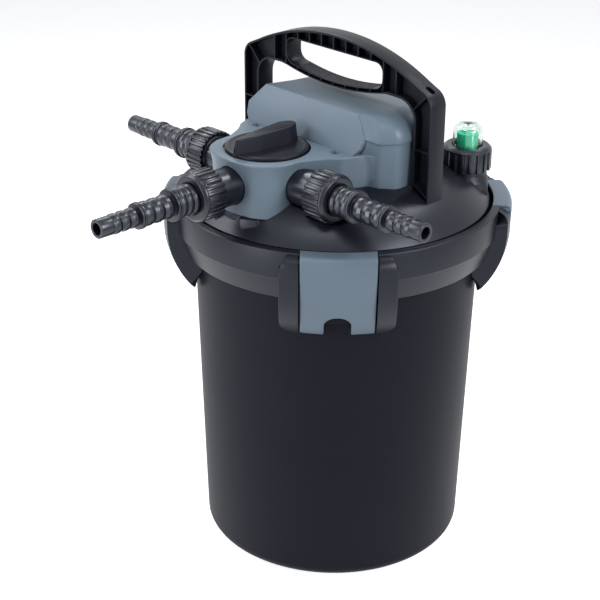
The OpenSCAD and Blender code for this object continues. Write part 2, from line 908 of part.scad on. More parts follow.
// The hand slot, grown by a margin: a flat top, round ends and a floor that sags
module hand_slot(m = 0) {
    floor_sag = 9;
    floor_r = (slot_x * slot_x + floor_sag * floor_sag) / (2 * floor_sag);
    intersection() {
        union() {
            for (s = [-1, 1])
                translate([s * (slot_x - slot_r), slot_top_z - slot_r]) circle(r = slot_r + m, $fn = 64);
            translate([-slot_x + slot_r, slot_top_z - 2 * slot_r])
                square([2 * (slot_x - slot_r), 2 * slot_r + m]);
            translate([-slot_x - m, slot_low_z - 10])
                square([2 * (slot_x + m), slot_top_z - slot_r - slot_low_z + 10]);
        }
        translate([0, slot_low_z + floor_r]) circle(r = floor_r + m, $fn = 240);
    }
}

module handle_face() {
    difference() {
        handle_outline();
        arch_opening();
        hand_slot();
    }
}

// The area inside the rims
module handle_pockets() {
    difference() {
        handle_outline(rim_t);
        arch_opening(rim_t);
        hand_slot(rim_t);
        for (k = [-5 : 5])
            translate([k * rib_pitch - rim_t / 4, 540]) square([rim_t / 2, 80]);
        for (s = [-1, 1]) {
            translate([s * (post_in_x - 5), arch_z - 12])
                rotate(s * -45) translate([-rim_t / 4, -10]) square([rim_t / 2, 60]);
            translate([s * (post_in_x + post_w / 2), 505.5]) square([post_w, rim_t / 2], center = true);
            translate([s * (post_in_x + post_w / 2), foot_floor_z]) square([post_w, rim_t], center = true);
        }
    }
}

foot_floor_z = 464;

module handle_screw_bore(s) {
    translate([s * handle_screw_x, handle_screw_y, 400])
        cylinder(r = handle_screw_r, h = foot_floor_z + 8 - 400, $fn = 32);
}

handle_screw_x = handle_x - post_w / 2;
handle_screw_y = handle_y + handle_t / 4 + 0.6;
handle_screw_r = 2.4;

module handle() {
    color(black_pp)
        difference() {
            translate([0, handle_y, 0])
                rotate([90, 0, 0])
                    difference() {
                        linear_extrude(handle_t, center = true) handle_face();
                        for (s = [-1, 1])
                            translate([0, 0, s * (web_t + pocket_t + 1) / 2])
                                linear_extrude(pocket_t + 1, center = true)
                                    difference() {
                                        handle_pockets();
                                        translate([-200, foot_z - 5]) square([400, foot_floor_z - foot_z + 5]);
                                    }
                    }
            dome_body(0.1);
            // small drain slot high on the right shoulder
            translate([131, handle_y, 573])
                rotate([0, 52, 0])
                    linear_extrude(12, center = true) {
                        square([4, 7], center = true);
                    }
            for (s = [-1, 1]) handle_screw_bore(s);
        }
}

module handle_screws() {
    color("silver")
        for (s = [-1, 1])
            translate([s * handle_screw_x, handle_screw_y, 0]) {
                translate([0, 0, 448]) cylinder(r = handle_screw_r, h = 22, $fn = 32);
                translate([0, 0, 437]) cylinder(r = 4.6, h = 11.2, $fn = 32);
            }
}

// ---- flow indicator -------------------------------------------------------

ind_nut_low_z = 453;
ind_nut_top_z = 480;
ind_thread_r = 20;
ind_neck_top_z = 472;
float_seat_z = 466;
ind_gasket_t = 1.2;
ind_flange_t = 1.8;
ind_dome_z = ind_neck_top_z + ind_gasket_t;
ind_dome_wall = 1.8;
float_r = 12;
float_low_z = 474;
float_h = ind_top_z - ind_dome_wall - float_travel - 2.2 - float_low_z;

module at_indicator(z) {
    translate([indicator_xy, indicator_xy, z]) children();
}

module indicator_base() {
    color(black_nut)
        difference() {
            intersection() {
                at_indicator(0)
                    rotate_extrude()
                        polygon([[7, 425], [31, 425], [31, 434], [27.5, 438.5], [25, 443], [23.5, 448],
                            [23.5, ind_nut_low_z - 0.6], [ind_thread_r, ind_nut_low_z - 0.6],
                            [ind_thread_r, ind_neck_top_z], [13, ind_neck_top_z], [13, float_seat_z],
                            [7, float_seat_z]]);
                // clear of the latch that swings past the lid's edge
                cylinder(r = lid_r - 3, h = big);
            }
            difference() {
                dome_body(0.1);
                indicator_pocket();
            }
        }
}

module indicator_gasket() {
    color("#3a3a3e")
        at_indicator(ind_neck_top_z)
            difference() {
                cylinder(r = ind_thread_r - 0.6, h = ind_gasket_t);
                translate([0, 0, -1]) cylinder(r = 14, h = 4);
            }
}

module indicator_dome() {
    r = ind_dome_r;
    w = ind_dome_wall;
    round_r = 10;
    arc = [for (a = [0 : 15 : 90]) [r - round_r + round_r * cos(a), ind_top_z - round_r + round_r * sin(a)]];
    arc_in = [for (a = [90 : -15 : 0])
        [r - round_r + (round_r - w) * cos(a), ind_top_z - round_r + (round_r - w) * sin(a)]];
    color("#dfe9ea", 0.4)
        at_indicator(0)
            rotate_extrude()
                polygon(concat(
                    [[ind_thread_r - 0.4, ind_dome_z], [ind_thread_r - 0.4, ind_dome_z + ind_flange_t],
                     [r, ind_dome_z + ind_flange_t]],
                    arc, [[1.6, ind_top_z], [1.6, ind_top_z - w]], arc_in, [[r - w, ind_dome_z]]));
}

module indicator_nut() {
    color(black_nut)
        at_indicator(ind_nut_low_z)
            difference() {
                union() {
                    linear_extrude(ind_nut_top_z - ind_nut_low_z - 3) ribbed_plan(ind_nut_r, 22, 1.6, 4.2);
                    translate([0, 0, ind_nut_top_z - ind_nut_low_z - 3])
                        cylinder(r1 = ind_nut_r - 0.6, r2 = ind_nut_r - 3, h = 3);
                }
                translate([0, 0, -1]) cylinder(r = ind_thread_r + 0.1, h = ind_dome_z + ind_flange_t + slack - ind_nut_low_z + 1);
                cylinder(r = ind_dome_r + 0.4, h = 60);
            }
}

module indicator_float() {
    color(float_green)
        at_indicator(0)
            difference() {
                union() {
                    translate([0, 0, float_low_z]) cylinder(r = float_r, h = float_h - 2);
                    translate([0, 0, float_low_z + float_h - 2]) cylinder(r1 = float_r, r2 = float_r - 2, h = 2);
                    translate([0, 0, float_seat_z + 0.05]) cylinder(r = 9, h = float_low_z - float_seat_z + 1, $fn = 48);
                }
                translate([0, 0, float_low_z + float_h - 1.6])
                    cylinder(r = 4, h = 5, $fn = 48);
            }
}

// ---- lamp, media and the pieces inside -----------------------------------

grid_low_z = 100;
grid_t = 6;
foam_r = 152;
foam_gap = 0.5;
foam_low_z = grid_low_z + grid_t + foam_gap;
top_grid_z = foam_low_z + foams * (foam_h + foam_gap);
sleeve_r = 19;
lamp_r = 12.5;
holder_top_z = 474;

module lamp_ballast() {
    color("#d9d9d4")
        translate([-10, 12, holder_top_z]) {
            cube([80, 32, 40]);
            for (x = [-9, 79]) translate([x, 8, 0]) cube([10, 16, 3]);
        }
}

module lamp_holder() {
    top = 500;
    seat = lid_edge_z + dome_h;
    color(black_nut)
        difference() {
            union() {
                translate([0, 0, seat]) cylinder(r = lamp_hole_r + 8, h = holder_top_z - seat);
                translate([0, 0, 440]) cylinder(r = lamp_hole_r - 0.3, h = 30);
                translate([-26, -26, holder_top_z - 1]) cube([26, 36, top - holder_top_z + 1]);
            }
            translate([0, 0, 430]) cylinder(r = sleeve_r + 0.2, h = 42);
        }
}

module holder_seal() {
    color("#26262a")
        translate([0, 0, 436.6])
            difference() {
                cylinder(r = sleeve_r + 4.5, h = 3.2);
                translate([0, 0, -1]) cylinder(r = sleeve_r + 0.1, h = 6);
            }
}

module quartz_sleeve() {
    wall = 1.6;
    low = 130;
    color("#cfe3ee", 0.5)
        difference() {
            union() {
                translate([0, 0, low + sleeve_r]) cylinder(r = sleeve_r, h = 471 - low - sleeve_r);
                translate([0, 0, low + sleeve_r]) sphere(r = sleeve_r);
            }
            translate([0, 0, low + sleeve_r]) cylinder(r = sleeve_r - wall, h = 400);
            translate([0, 0, low + sleeve_r]) sphere(r = sleeve_r - wall);
        }
}

// Twin-tube lamp with its base
module uv_lamp() {
    tube_r = 6;
    low = 165;
    color("#f2f4ff")
        for (s = [-1, 1]) {
            translate([0, s * 7.5, low]) cylinder(r = tube_r, h = 265);
            translate([0, s * 7.5, low]) sphere(r = tube_r);
        }
    color("#e8e8e8") {
        translate([0, -8, low + 4]) rotate([-90, 0, 0]) cylinder(r = 2.5, h = 16, $fn = 32);
        translate([0, 0, low + 260]) cylinder(r = lamp_r + 3, h = 40);
    }
}

module riser_tube() {
    wall = 2.5;
    color(black_pp)
        difference() {
            translate([0, 0, 60]) cylinder(r = riser_r, h = 374);
            translate([0, 0, 50]) cylinder(r = riser_r - wall, h = 400);
            for (a = [0 : 45 : 135])
                rotate(a) translate([-50, -3, 68]) cube([100, 6, 24]);
        }
}

grid_rings = [58, 91, 127];
grid_counts = [8, 14, 20];
grid_holes = [10, 12.5, 13.5];

// Round plate with rings of holes, round the riser tube
module grid(z, r) {
    color(black_pp)
        translate([0, 0, z])
            difference() {
                cylinder(r = r, h = grid_t);
                translate([0, 0, -1]) cylinder(r = riser_r + 0.5, h = grid_t + 2);
                for (i = [0 : 2], k = [0 : grid_counts[i] - 1])
                    rotate(360 * k / grid_counts[i])
                        translate([grid_rings[i], 0, -1]) cylinder(r = grid_holes[i], h = grid_t + 2, $fn = 32);
            }
}

module bottom_grid() { grid(grid_low_z, foam_r - 1); }
module top_grid() { grid(top_grid_z, foam_r); }

module foam(i) {
    edge = 1.5;
    color(foam_blue)
        translate([0, 0, foam_low_z + i * (foam_h + foam_gap)])
            rotate_extrude()
                polygon([[riser_r + 1, 0], [foam_r - edge, 0], [foam_r, edge], [foam_r, foam_h - edge],
                    [foam_r - edge, foam_h], [riser_r + 1, foam_h]]);
}

module foam_1() { foam(0); }
module foam_2() { foam(1); }
module foam_3() { foam(2); }
module foam_4() { foam(3); }

ball_rings = [54, 92.5, 131];
ball_counts = [8, 14, 20];

module bio_balls() {
    color("#4a4d55")
        for (i = [0 : 2], k = [0 : ball_counts[i] - 1])
            rotate(360 * k / ball_counts[i])
                translate([ball_rings[i], 0, floor_t + ball_r + 0.2]) sphere(r = ball_r);
}

// ---- nodes ----------------------------------------------------------------

bucket();
drum_catches();
lid_seal();
lid();
clamp_ring();
latch_front();
latch_right();
latch_back();
latch_left();
latch_pins();
valve_body();
valve_rotor();
valve_cap();
spindle_seal();
selector_knob();
head_cover();
cover_screws();
hose_tail_right();
hose_tail_front();
hose_tail_left();
union_nut_right();
union_nut_front();
union_nut_left();
tail_gaskets();
handle();
handle_screws();
indicator_base();
indicator_gasket();
indicator_dome();
indicator_nut();
indicator_float();
cable_gland();
gland_nut();
lamp_ballast();
lamp_holder();
holder_seal();
quartz_sleeve();
uv_lamp();
riser_tube();
bottom_grid();
foam_1();
foam_2();
foam_3();
foam_4();
top_grid();
bio_balls();
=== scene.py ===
import json
import math

import bmesh
import bpy
from mathutils import Matrix, Vector


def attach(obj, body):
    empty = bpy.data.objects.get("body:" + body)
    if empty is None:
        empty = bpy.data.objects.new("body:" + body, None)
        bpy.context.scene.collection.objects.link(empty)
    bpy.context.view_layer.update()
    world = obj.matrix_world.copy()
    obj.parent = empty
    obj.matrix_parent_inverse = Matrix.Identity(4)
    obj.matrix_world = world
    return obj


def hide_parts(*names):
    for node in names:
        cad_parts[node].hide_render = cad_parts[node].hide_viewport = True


# A pond canister filter. Sizes here are millimetres and turn to metres in buildObject.
millimetre = 0.001

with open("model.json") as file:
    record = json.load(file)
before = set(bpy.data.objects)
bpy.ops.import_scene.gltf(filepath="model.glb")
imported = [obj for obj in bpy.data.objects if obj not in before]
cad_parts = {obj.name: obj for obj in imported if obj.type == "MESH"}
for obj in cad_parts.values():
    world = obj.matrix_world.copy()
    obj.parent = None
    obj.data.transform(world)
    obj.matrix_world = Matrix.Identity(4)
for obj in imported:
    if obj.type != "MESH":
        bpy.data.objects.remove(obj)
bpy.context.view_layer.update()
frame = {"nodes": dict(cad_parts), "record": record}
print("frame loaded:", len(frame["nodes"]), "nodes")


# Camera and light

camera = {
    "focalPixels": 1490.1,
    "framePixels": 600,
    "elevation": 25.55,
    "azimuth": 44.16,
    "roll": 1.01,
    "distance": 1751.1,
    "targetHeight": 280.0,
    "centrePixel": (335.45, 303.33),
}


def makeCamera():
    c = camera
    a, e, r = (math.radians(c[k]) for k in ("azimuth", "elevation", "roll"))
    back = Vector((math.sin(a) * math.cos(e), -math.cos(a) * math.cos(e), math.sin(e)))
    right = Vector((math.cos(a), math.sin(a), 0))
    up = back.cross(right)
    right, up = right * math.cos(r) + up * math.sin(r), up * math.cos(r) - right * math.sin(r)
    data = bpy.data.cameras.new("camera")
    data.sensor_width = 36
    data.lens = c["focalPixels"] / c["framePixels"] * data.sensor_width
    data.shift_x = -(c["centrePixel"][0] - c["framePixels"] / 2) / c["framePixels"]
    data.shift_y = (c["centrePixel"][1] - c["framePixels"] / 2) / c["framePixels"]
    data.clip_start = 0.05
    data.clip_end = 20
    obj = bpy.data.objects.new("camera", data)
    place = (Vector((0, 0, c["targetHeight"])) + back * c["distance"]) * millimetre
    obj.matrix_world = Matrix.Translation(place) @ Matrix((right, up, back)).transposed().to_4x4()
    bpy.context.collection.objects.link(obj)
    bpy.context.scene.camera = obj


def areaLight(name, azimuth, elevation, distance, width, height, power, aim):
    a, e = math.radians(azimuth), math.radians(elevation)
    toLight = Vector((math.sin(a) * math.cos(e), -math.cos(a) * math.cos(e), math.sin(e)))
    data = bpy.data.lights.new(name, "AREA")
    data.shape = "RECTANGLE"
    data.size = width
    data.size_y = height
    data.energy = power
    obj = bpy.data.objects.new(name, data)
    obj.location = Vector(aim) + toLight * distance
    obj.rotation_euler = toLight.to_track_quat("Z", "Y").to_euler()
    bpy.context.collection.objects.link(obj)


# Sets a node's inputs, and links some of them to other nodes' sockets
def fill(node, values=None, links=None):
    for key, value in (values or {}).items():
        node.inputs[key].default_value = value
    for key, socket in (links or {}).items():
        node.id_data.links.new(socket, node.inputs[key])


# One node with its settings and links
def addNode(tree, kind, settings=None, values=None, links=None):
    node = tree.nodes.new(kind)
    for key, value in (settings or {}).items():
        setattr(node, key, value)
    fill(node, values, links)
    return node


def newMaterial(name):
    material = bpy.data.materials.new(name)
    material.use_nodes = True
    return material, material.node_tree, material.node_tree.nodes["Principled BSDF"]


# 1 on a ray from the camera, a reflection or clear plastic, and 0 on one that lights a surface
def seenDirectly(tree):
    rays = addNode(tree, "ShaderNodeLightPath").outputs
    seen = rays["Is Camera Ray"]
    for kind in ("Is Glossy Ray", "Is Transmission Ray"):
        seen = addNode(tree, "ShaderNodeMath", {"operation": "MAXIMUM"}, links={0: seen, 1: rays[kind]}).outputs[0]
    return seen


lights = {
    "worldLevel": 0.1,
    "worldColour": (0.8, 0.88, 1, 1),
    "floorColour": (0.8, 0.8, 0.81, 1),
    "floorGlow": 0.75,
    "floorHalf": 6,
}

# name: azimuth, elevation, distance, width, height, power, aim
softboxes = {
    "left softbox": (-5, 6, 1.9, 0.5, 1.6, 26, (0, 0, 0.34)),
    "left high softbox": (-48, 32, 1.7, 0.8, 1.1, 15, (0, 0, 0.45)),
    "right strip": (84, 6, 1.9, 0.25, 1.5, 5, (0, 0, 0.34)),
    "right softbox": (94, 28, 1.4, 0.6, 0.6, 16, (0.05, 0, 0.5)),
    "left back strip": (-108, 46, 1.6, 0.8, 0.25, 7, (0, 0, 0.45)),
    "front strip": (36, 60, 1.4, 1.0, 0.1, 4.5, (0, 0, 0.48)),
    "back high strip": (158, 58, 1.5, 0.6, 0.25, 7, (0, 0, 0.45)),
}


def makeLights():
    world = bpy.data.worlds.new("studio")
    bpy.context.scene.world = world
    world.use_nodes = True
    tree = world.node_tree
    seen = tree.nodes["Background"]
    fill(seen, {"Color": (1, 1, 1, 1)})
    look = {"Color": lights["worldColour"], "Strength": lights["worldLevel"]}
    lit = addNode(tree, "ShaderNodeBackground", values=look)
    mix = addNode(tree, "ShaderNodeMixShader", links={0: seenDirectly(tree), 1: lit.outputs[0], 2: seen.outputs[0]})
    fill(tree.nodes["World Output"], links={"Surface": mix.outputs[0]})
    for name, place in softboxes.items():
        areaLight(name, *place)


def makeFloor():
    bm = bmesh.new()
    bmesh.ops.create_grid(bm, x_segments=1, y_segments=1, size=lights["floorHalf"])
    mesh = bpy.data.meshes.new("floor")
    bm.to_mesh(mesh)
    bm.free()
    floor = bpy.data.objects.new("floor", mesh)
    bpy.context.collection.objects.link(floor)
    material, tree, shader = newMaterial("white studio floor")
    fill(shader, {"Base Color": lights["floorColour"], "Roughness": 0.9, "Specular IOR Level": 0.1})
    # the glow brings the floor up to white and leaves the filter's shadow on it
    glow = addNode(tree, "ShaderNodeEmission", values={"Strength": lights["floorGlow"]})
    both = addNode(tree, "ShaderNodeAddShader", links={0: shader.outputs[0], 1: glow.outputs[0]})
    mix = addNode(tree, "ShaderNodeMixShader", links={0: seenDirectly(tree), 1: shader.outputs[0], 2: both.outputs[0]})
    fill(tree.nodes["Material Output"], links={"Surface": mix.outputs[0]})
    mesh.materials.append(material)


# Materials

def linearColour(code):
    channels = [int(code[i : i + 2], 16) / 255 for i in (1, 3, 5)]
    return tuple(c / 12.92 if c <= 0.04045 else ((c + 0.055) / 1.055) ** 2.4 for c in channels) + (1.0,)


# Noise scale for a pattern's size in millimetres, on coordinates in metres
def patternScale(size):
    return 1000 / size


def objectPlace(tree):
    return addNode(tree, "ShaderNodeTexCoord").outputs["Object"]


def noise(tree, size, detail, place=None):
    values = {"Scale": patternScale(size), "Detail": detail}
    links = {"Vector": place or objectPlace(tree)}
    return addNode(tree, "ShaderNodeTexNoise", values=values, links=links).outputs["Fac"]


def blended(tree, base, shade, factor):
    tones = {"A": linearColour(base), "B": linearColour(shade)}
    return addNode(tree, "ShaderNodeMix", {"data_type": "RGBA"}, tones, {"Factor": factor}).outputs["Result"]


# A bump of some depth in millimetres
def bumped(tree, height, strength, depth):
    values = {"Strength": strength, "Distance": depth * millimetre}
    return addNode(tree, "ShaderNodeBump", values=values, links={"Height": height}).outputs["Normal"]


def spread(tree, value, middle, half):
    values = {"To Min": middle - half, "To Max": middle + half}
    return addNode(tree, "ShaderNodeMapRange", values=values, links={"Value": value}).outputs["Result"]


# What each slot of the part wears
slots = {}

# Dark plastics look bluish where they shine
sheenTint = (0.8, 0.86, 1, 1)


# Moulded plastic: the colour drifts between two tones over a hand's width, and a grain of about
# a millimetre, coarser than the real one so that it shows, breaks up the gloss
def plastic(name, base, shade, roughness, specular=0.2, grain=1.1, grainHeight=0.02):
    material, tree, shader = newMaterial(name)
    drift = noise(tree, 110, 4)
    fill(shader, {"Specular IOR Level": specular, "Specular Tint": sheenTint}, {
        "Base Color": blended(tree, base, shade, drift),
        "Normal": bumped(tree, noise(tree, grain, 3), 0.5, grainHeight),
        "Roughness": spread(tree, drift, roughness, 0.04),
    })
    return material


# Moulded polypropylene: a soft sheen in tall bands, bluish where the drum turns away
slots["drum_plastic"] = plastic("satin black polypropylene drum", "#0e0f16", "#12131b", 0.5, 0.1)
# The same plastic a little glossier, so that the lid's crown takes a clear highlight
slots["lid_plastic"] = plastic("satin charcoal polypropylene lid", "#101118", "#14151d", 0.33, 0.35)
# Glass-filled nylon: a duller black with a visible grain
slots["ring_plastic"] = plastic("matt black nylon ring", "#0e0f16", "#13141c", 0.38, 0.28, grainHeight=0.03)
# Moulded ABS of cover and latches: an even blue-grey with broad soft highlights
slots["cover_plastic"] = plastic("satin blue-grey moulded ABS", "#5a6874", "#616f7c", 0.34, 0.25)
# Moulded polypropylene of the handle: thin ribs stand out as paler lines on a dull black
slots["handle_plastic"] = plastic("matt black moulded handle", "#0b0c12", "#101118", 0.38, 0.22)
# Moulded ABS of the knob: satin, so that the grip's edges show
slots["knob_plastic"] = plastic("satin black knob", "#101118", "#15161e", 0.34, 0.2)
# Glass-filled nylon of the hose fittings: glossier than the rest, with bright rims
slots["fitting_plastic"] = plastic("glossy black glass-filled nylon", "#0c0d13", "#101118", 0.28, 0.55, 0.8, 0.01)
# Dyed polystyrene: the one bright colour, seen through the dome
slots["float_plastic"] = plastic("green moulded float", "#0fb98a", "#22cf9c", 0.35, 0.4)
# Moulded polypropylene inside the drum: dark grey and dull
slots["inner_plastic"] = plastic("black inner plastic", "#222327", "#2a2b30", 0.5)
# Turned acetal: milky white with a faint sheen
slots["rotor_plastic"] = plastic("white turned acetal", "#d9dadb", "#e4e5e6", 0.42, 0.4, 0.6)
# Epoxy in a moulded case: pale grey and slightly rough
slots["ballast_plastic"] = plastic("pale grey potted casing", "#c9c9c4", "#d6d6d1", 0.5, 0.3, 1.6, 0.05)
# Moulded rubber: dead black with hardly a highlight
slots["seal_rubber"] = plastic("moulded rubber seal", "#16161a", "#1c1c21", 0.6, 0.15, 1.5)


# Clear parts: a thin greenish or bluish cast and sharp reflections
def clearMaterial(name, colour, ior, roughness):
    material, tree, shader = newMaterial(name)
    values = {"Base Color": linearColour(colour), "Roughness": roughness, "IOR": ior, "Transmission Weight": 1}
    fill(shader, values, {"Normal": bumped(tree, noise(tree, 12, 2), 0.3, 0.02)})
    return material


slots["clear_dome"] = clearMaterial("clear moulded polycarbonate", "#f1faf8", 1.585, 0.04)
slots["quartz"] = clearMaterial("clear fused quartz", "#f4fafc", 1.46, 0.01)
slots["lamp_glass"] = clearMaterial("lamp glass", "#eef4ff", 1.5, 0.05)


# Steel: a grain of 2.5 mm across and a fifth of a millimetre up, coarser than real tool marks
# so that it shows, breaks up the highlights
def steelMaterial(name, colour, roughness):
    material, tree, shader = newMaterial(name)
    values = {"Scale": (1, 1, 12)}
    squeezed = addNode(tree, "ShaderNodeMapping", values=values, links={"Vector": objectPlace(tree)}).outputs[0]
    rough = spread(tree, noise(tree, 2.5, 5, squeezed), roughness, 0.08)
    fill(shader, {"Base Color": linearColour(colour), "Metallic": 1}, {"Roughness": rough})
    return material


# The pins' dark colour is painted shade, so that they sink into the shade beside the latches, and the screws are
# bright metal
slots["pin_steel"] = steelMaterial("steel darkened to painted shade", "#2b2c30", 0.42)
slots["screw_steel"] = steelMaterial("cold-formed stainless steel", "#bcbdc0", 0.34)


# Open-cell foam: painted shade darkens the pits between the cell walls, which stay bright
def foamMaterial():
    material, tree, shader = newMaterial("blue open-cell filter foam")
    place = {"Vector": objectPlace(tree)}
    cells = addNode(tree, "ShaderNodeTexVoronoi", values={"Scale": patternScale(3)}, links=place).outputs["Distance"]
    # painted shade: the colour goes dark towards each cell's middle, where the pit lies, and bright at its walls
    paintedPitShade = addNode(tree, "ShaderNodeMapRange", values={"From Max": 0.6}, links={"Value": cells}).outputs["Result"]
    links = {"Base Color": blended(tree, "#1f3550", "#4d78ab", paintedPitShade), "Normal": bumped(tree, cells, 0.8, 1)}
    fill(shader, {"Roughness": 0.9, "Specular IOR Level": 0.2}, links)
    return material


slots["filter_foam"] = foamMaterial()


def dressNodes():
    for part in frame["record"]["subparts"]:
        material = slots.get(part["material_slot"])
        if material:
            mesh = frame["nodes"][part["node"]].data
            mesh.materials.clear()
            mesh.materials.append(material)


makeCamera()
makeLights()
makeFloor()
dressNodes()
print("camera, light and materials ready")


# Geometry helpers, in millimetres

# Corners (x, y, radius) to points, with each corner rounded to its radius
def rounded(corners, steps=5, closed=True):
    points = []
    count = len(corners)
    for i, (x, y, radius) in enumerate(corners):
        here = Vector((x, y))
        if radius == 0 or (not closed and i in (0, count - 1)):
            points.append(here)
            continue
        before = Vector(corners[i - 1][:2]) - here
        after = Vector(corners[(i + 1) % count][:2]) - here
        half = before.angle(after) / 2
        # a rounded neighbour keeps half of the shared side
        shares = [0.49 if corners[j % count][2] else 0.98 for j in (i - 1, i + 1)]
        reach = min(radius / math.tan(half), shares[0] * before.length, shares[1] * after.length)
        before, after = before.normalized(), after.normalized()
        centre = here + (before + after).normalized() * reach / math.cos(half)
        first, last = here + before * reach - centre, here + after * reach - centre
        turn = first.angle(last)
        for k in range(steps + 1):
            t = k / steps
            points.append(centre + (first * math.sin((1 - t) * turn) + last * math.sin(t * turn)) / math.sin(turn))
    return points


# A profile of (radius, height) points spun round an upright axis
def revolve(profile, segments, closed=True, centre=(0, 0)):
    bm = bmesh.new()
    verts = [bm.verts.new((radius, 0, height)) for radius, height in profile]
    pairs = list(zip(verts, verts[1:])) + ([(verts[-1], verts[0])] if closed else [])
    edges = [bm.edges.new(pair) for pair in pairs]
    bmesh.ops.spin(
        bm, geom=verts + edges, cent=(0, 0, 0), axis=(0, 0, 1), angle=2 * math.pi, steps=segments, use_merge=True,
    )
    bmesh.ops.remove_doubles(bm, verts=bm.verts, dist=1e-4)
    bmesh.ops.recalc_face_normals(bm, faces=bm.faces)
    return moved(bm, (*centre, 0))


def cylinder(radius, low, high, segments=64, centre=(0, 0)):
    return revolve([(0, low), (radius, low), (radius, high), (0, high)], segments, False, centre)


def circle(radius, count):
    turns = [2 * math.pi * i / count for i in range(count)]
    return [(radius * math.cos(turn), radius * math.sin(turn)) for turn in turns]


# A flat outline raised to a prism along Z, its long edges rounded
def prism(outline, low, high, edge=0.0, holes=(), steps=2):
    bm = bmesh.new()
    edges = []
    for loop in (outline, *holes):
        verts = [bm.verts.new((p[0], p[1], low)) for p in loop]
        edges += [bm.edges.new((verts[i - 1], verts[i])) for i in range(len(verts))]
    if holes:
        bmesh.ops.triangle_fill(bm, edges=edges, use_beauty=True)
    else:
        bm.faces.new(list(bm.verts))
    raised = bmesh.ops.extrude_face_region(bm, geom=list(bm.faces), use_keep_orig=True)
    tops = [v for v in raised["geom"] if isinstance(v, bmesh.types.BMVert)]
    bmesh.ops.translate(bm, verts=tops, vec=(0, 0, high - low))
    bmesh.ops.recalc_face_normals(bm, faces=bm.faces)
    if edge:
        roundEdges(bm, edge, steps, 50, lambda a, b: abs(a.z - b.z) < 1e-6)
    return bm


# Rounds the edges that are sharper than an angle and pass a test on their two ends
def roundEdges(bm, width, steps=2, sharper=30, test=lambda a, b: True):
    limit = math.radians(sharper)
    chosen = [
        e for e in bm.edges
        if len(e.link_faces) == 2 and e.calc_face_angle(0) > limit and test(e.verts[0].co, e.verts[1].co)
    ]
    bmesh.ops.bevel(
        bm, geom=chosen, offset=width, offset_type="OFFSET", segments=steps, profile=0.5,
        affect="EDGES", clamp_overlap=True, material=-1,
    )


def block(low, high, edge=0.0, steps=2):
    outline = [(low[0], low[1]), (high[0], low[1]), (high[0], high[1]), (low[0], high[1])]
    bm = prism(outline, low[2], high[2])
    if edge:
        roundEdges(bm, edge, steps)
    return bm


# Closed rings of points (x, y, z), one above the other, bridged into a solid
def lofted(rings):
    bm = bmesh.new()
    rows = []
    for ring in rings:
        verts = [bm.verts.new(p) for p in ring]
        rows.append([bm.edges.new((verts[i - 1], verts[i])) for i in range(len(verts))])
    for low, high in zip(rows, rows[1:]):
        bmesh.ops.bridge_loops(bm, edges=low + high)
    for end in (rows[0], rows[-1]):
        bmesh.ops.contextual_create(bm, geom=end)
    bmesh.ops.recalc_face_normals(bm, faces=bm.faces)
    return bm


# Several solids in one mesh
def joined(parts):
    bm = bmesh.new()
    for part in parts:
        mesh = bpy.data.meshes.new("part")
        part.to_mesh(mesh)
        part.free()
        bm.from_mesh(mesh)
        bpy.data.meshes.remove(mesh)
    return bm


# Turned by some degrees, and then shifted
def moved(bm, offset=(0, 0, 0), turn=0, axis="Z"):
    bmesh.ops.rotate(bm, verts=bm.verts, cent=(0, 0, 0), matrix=Matrix.Rotation(math.radians(turn), 3, axis))
    bmesh.ops.translate(bm, verts=bm.verts, vec=offset)
    return bm


# Every face that a plane crosses is split along it
def sliced(bm, place, normal):
    everything = bm.verts[:] + bm.edges[:] + bm.faces[:]
    bmesh.ops.bisect_plane(bm, geom=everything, plane_co=place, plane_no=normal)


# A plate drawn along a flat tangent is pulled back to the round side it stands for
def wrapped(bm):
    for v in bm.verts:
        v.co.x = math.sqrt(v.co.x**2 - v.co.y**2)


def loose(bm):
    mesh = bpy.data.meshes.new("loose")
    bm.to_mesh(mesh)
    bm.free()
    obj = bpy.data.objects.new("loose", mesh)
    bpy.context.collection.objects.link(obj)
    return obj


def evaluated(obj):
    graph = bpy.context.evaluated_depsgraph_get()
    bm = bmesh.new()
    bm.from_object(obj, graph)
    return bm


def discard(obj):
    mesh = obj.data
    bpy.data.objects.remove(obj)
    bpy.data.meshes.remove(mesh)


# The solid with the cutters taken out, or with what lies in them kept
def carved(bm, cutters, operation="DIFFERENCE"):
    obj = loose(bm)
    tools = [loose(c) for c in cutters]
    for tool in tools:
        cut = obj.modifiers.new("cut", "BOOLEAN")
        cut.object = tool
        cut.operation = operation
        cut.solver = "EXACT"
    result = evaluated(obj)
    for used in (obj, *tools):
        discard(used)
    return result


# A finished piece in metres, shaded smooth below the crease angle, on its body and slot
def buildObject(name, bm, body, slot, replaces=(), crease=35, material=None):
    bmesh.ops.recalc_face_normals(bm, faces=bm.faces)
    bm.transform(Matrix.Scale(millimetre, 4))
    for edge in bm.edges:
        edge.smooth = len(edge.link_faces) == 2 and edge.calc_face_angle(0) < math.radians(crease)
    for face in bm.faces:
        face.smooth = True
    mesh = bpy.data.meshes.new(name)
    bm.to_mesh(mesh)
    bm.free()
    mesh.materials.append(material or slots[slot])
    obj = bpy.data.objects.new(name, mesh)
    bpy.context.collection.objects.link(obj)
    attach(obj, body)
    if replaces:
        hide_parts(*replaces)
    print(name, len(mesh.polygons), "faces")


# Drum

drum = {
    "baseRadius": 153.8,
    "topRadius": 162.7,
    "ringHeight": 364,
    "rimRadius": 164.6,
    "rimLow": 388,
    "rimHeight": 402,
    "boreRadius": 159.6,
    "baseEdge": 13,
    "floor": 5,
    "catchRadius": 169.5,
    "catchLow": 337,
    "catchHigh": 349,
    "catchHalf": 38,
}
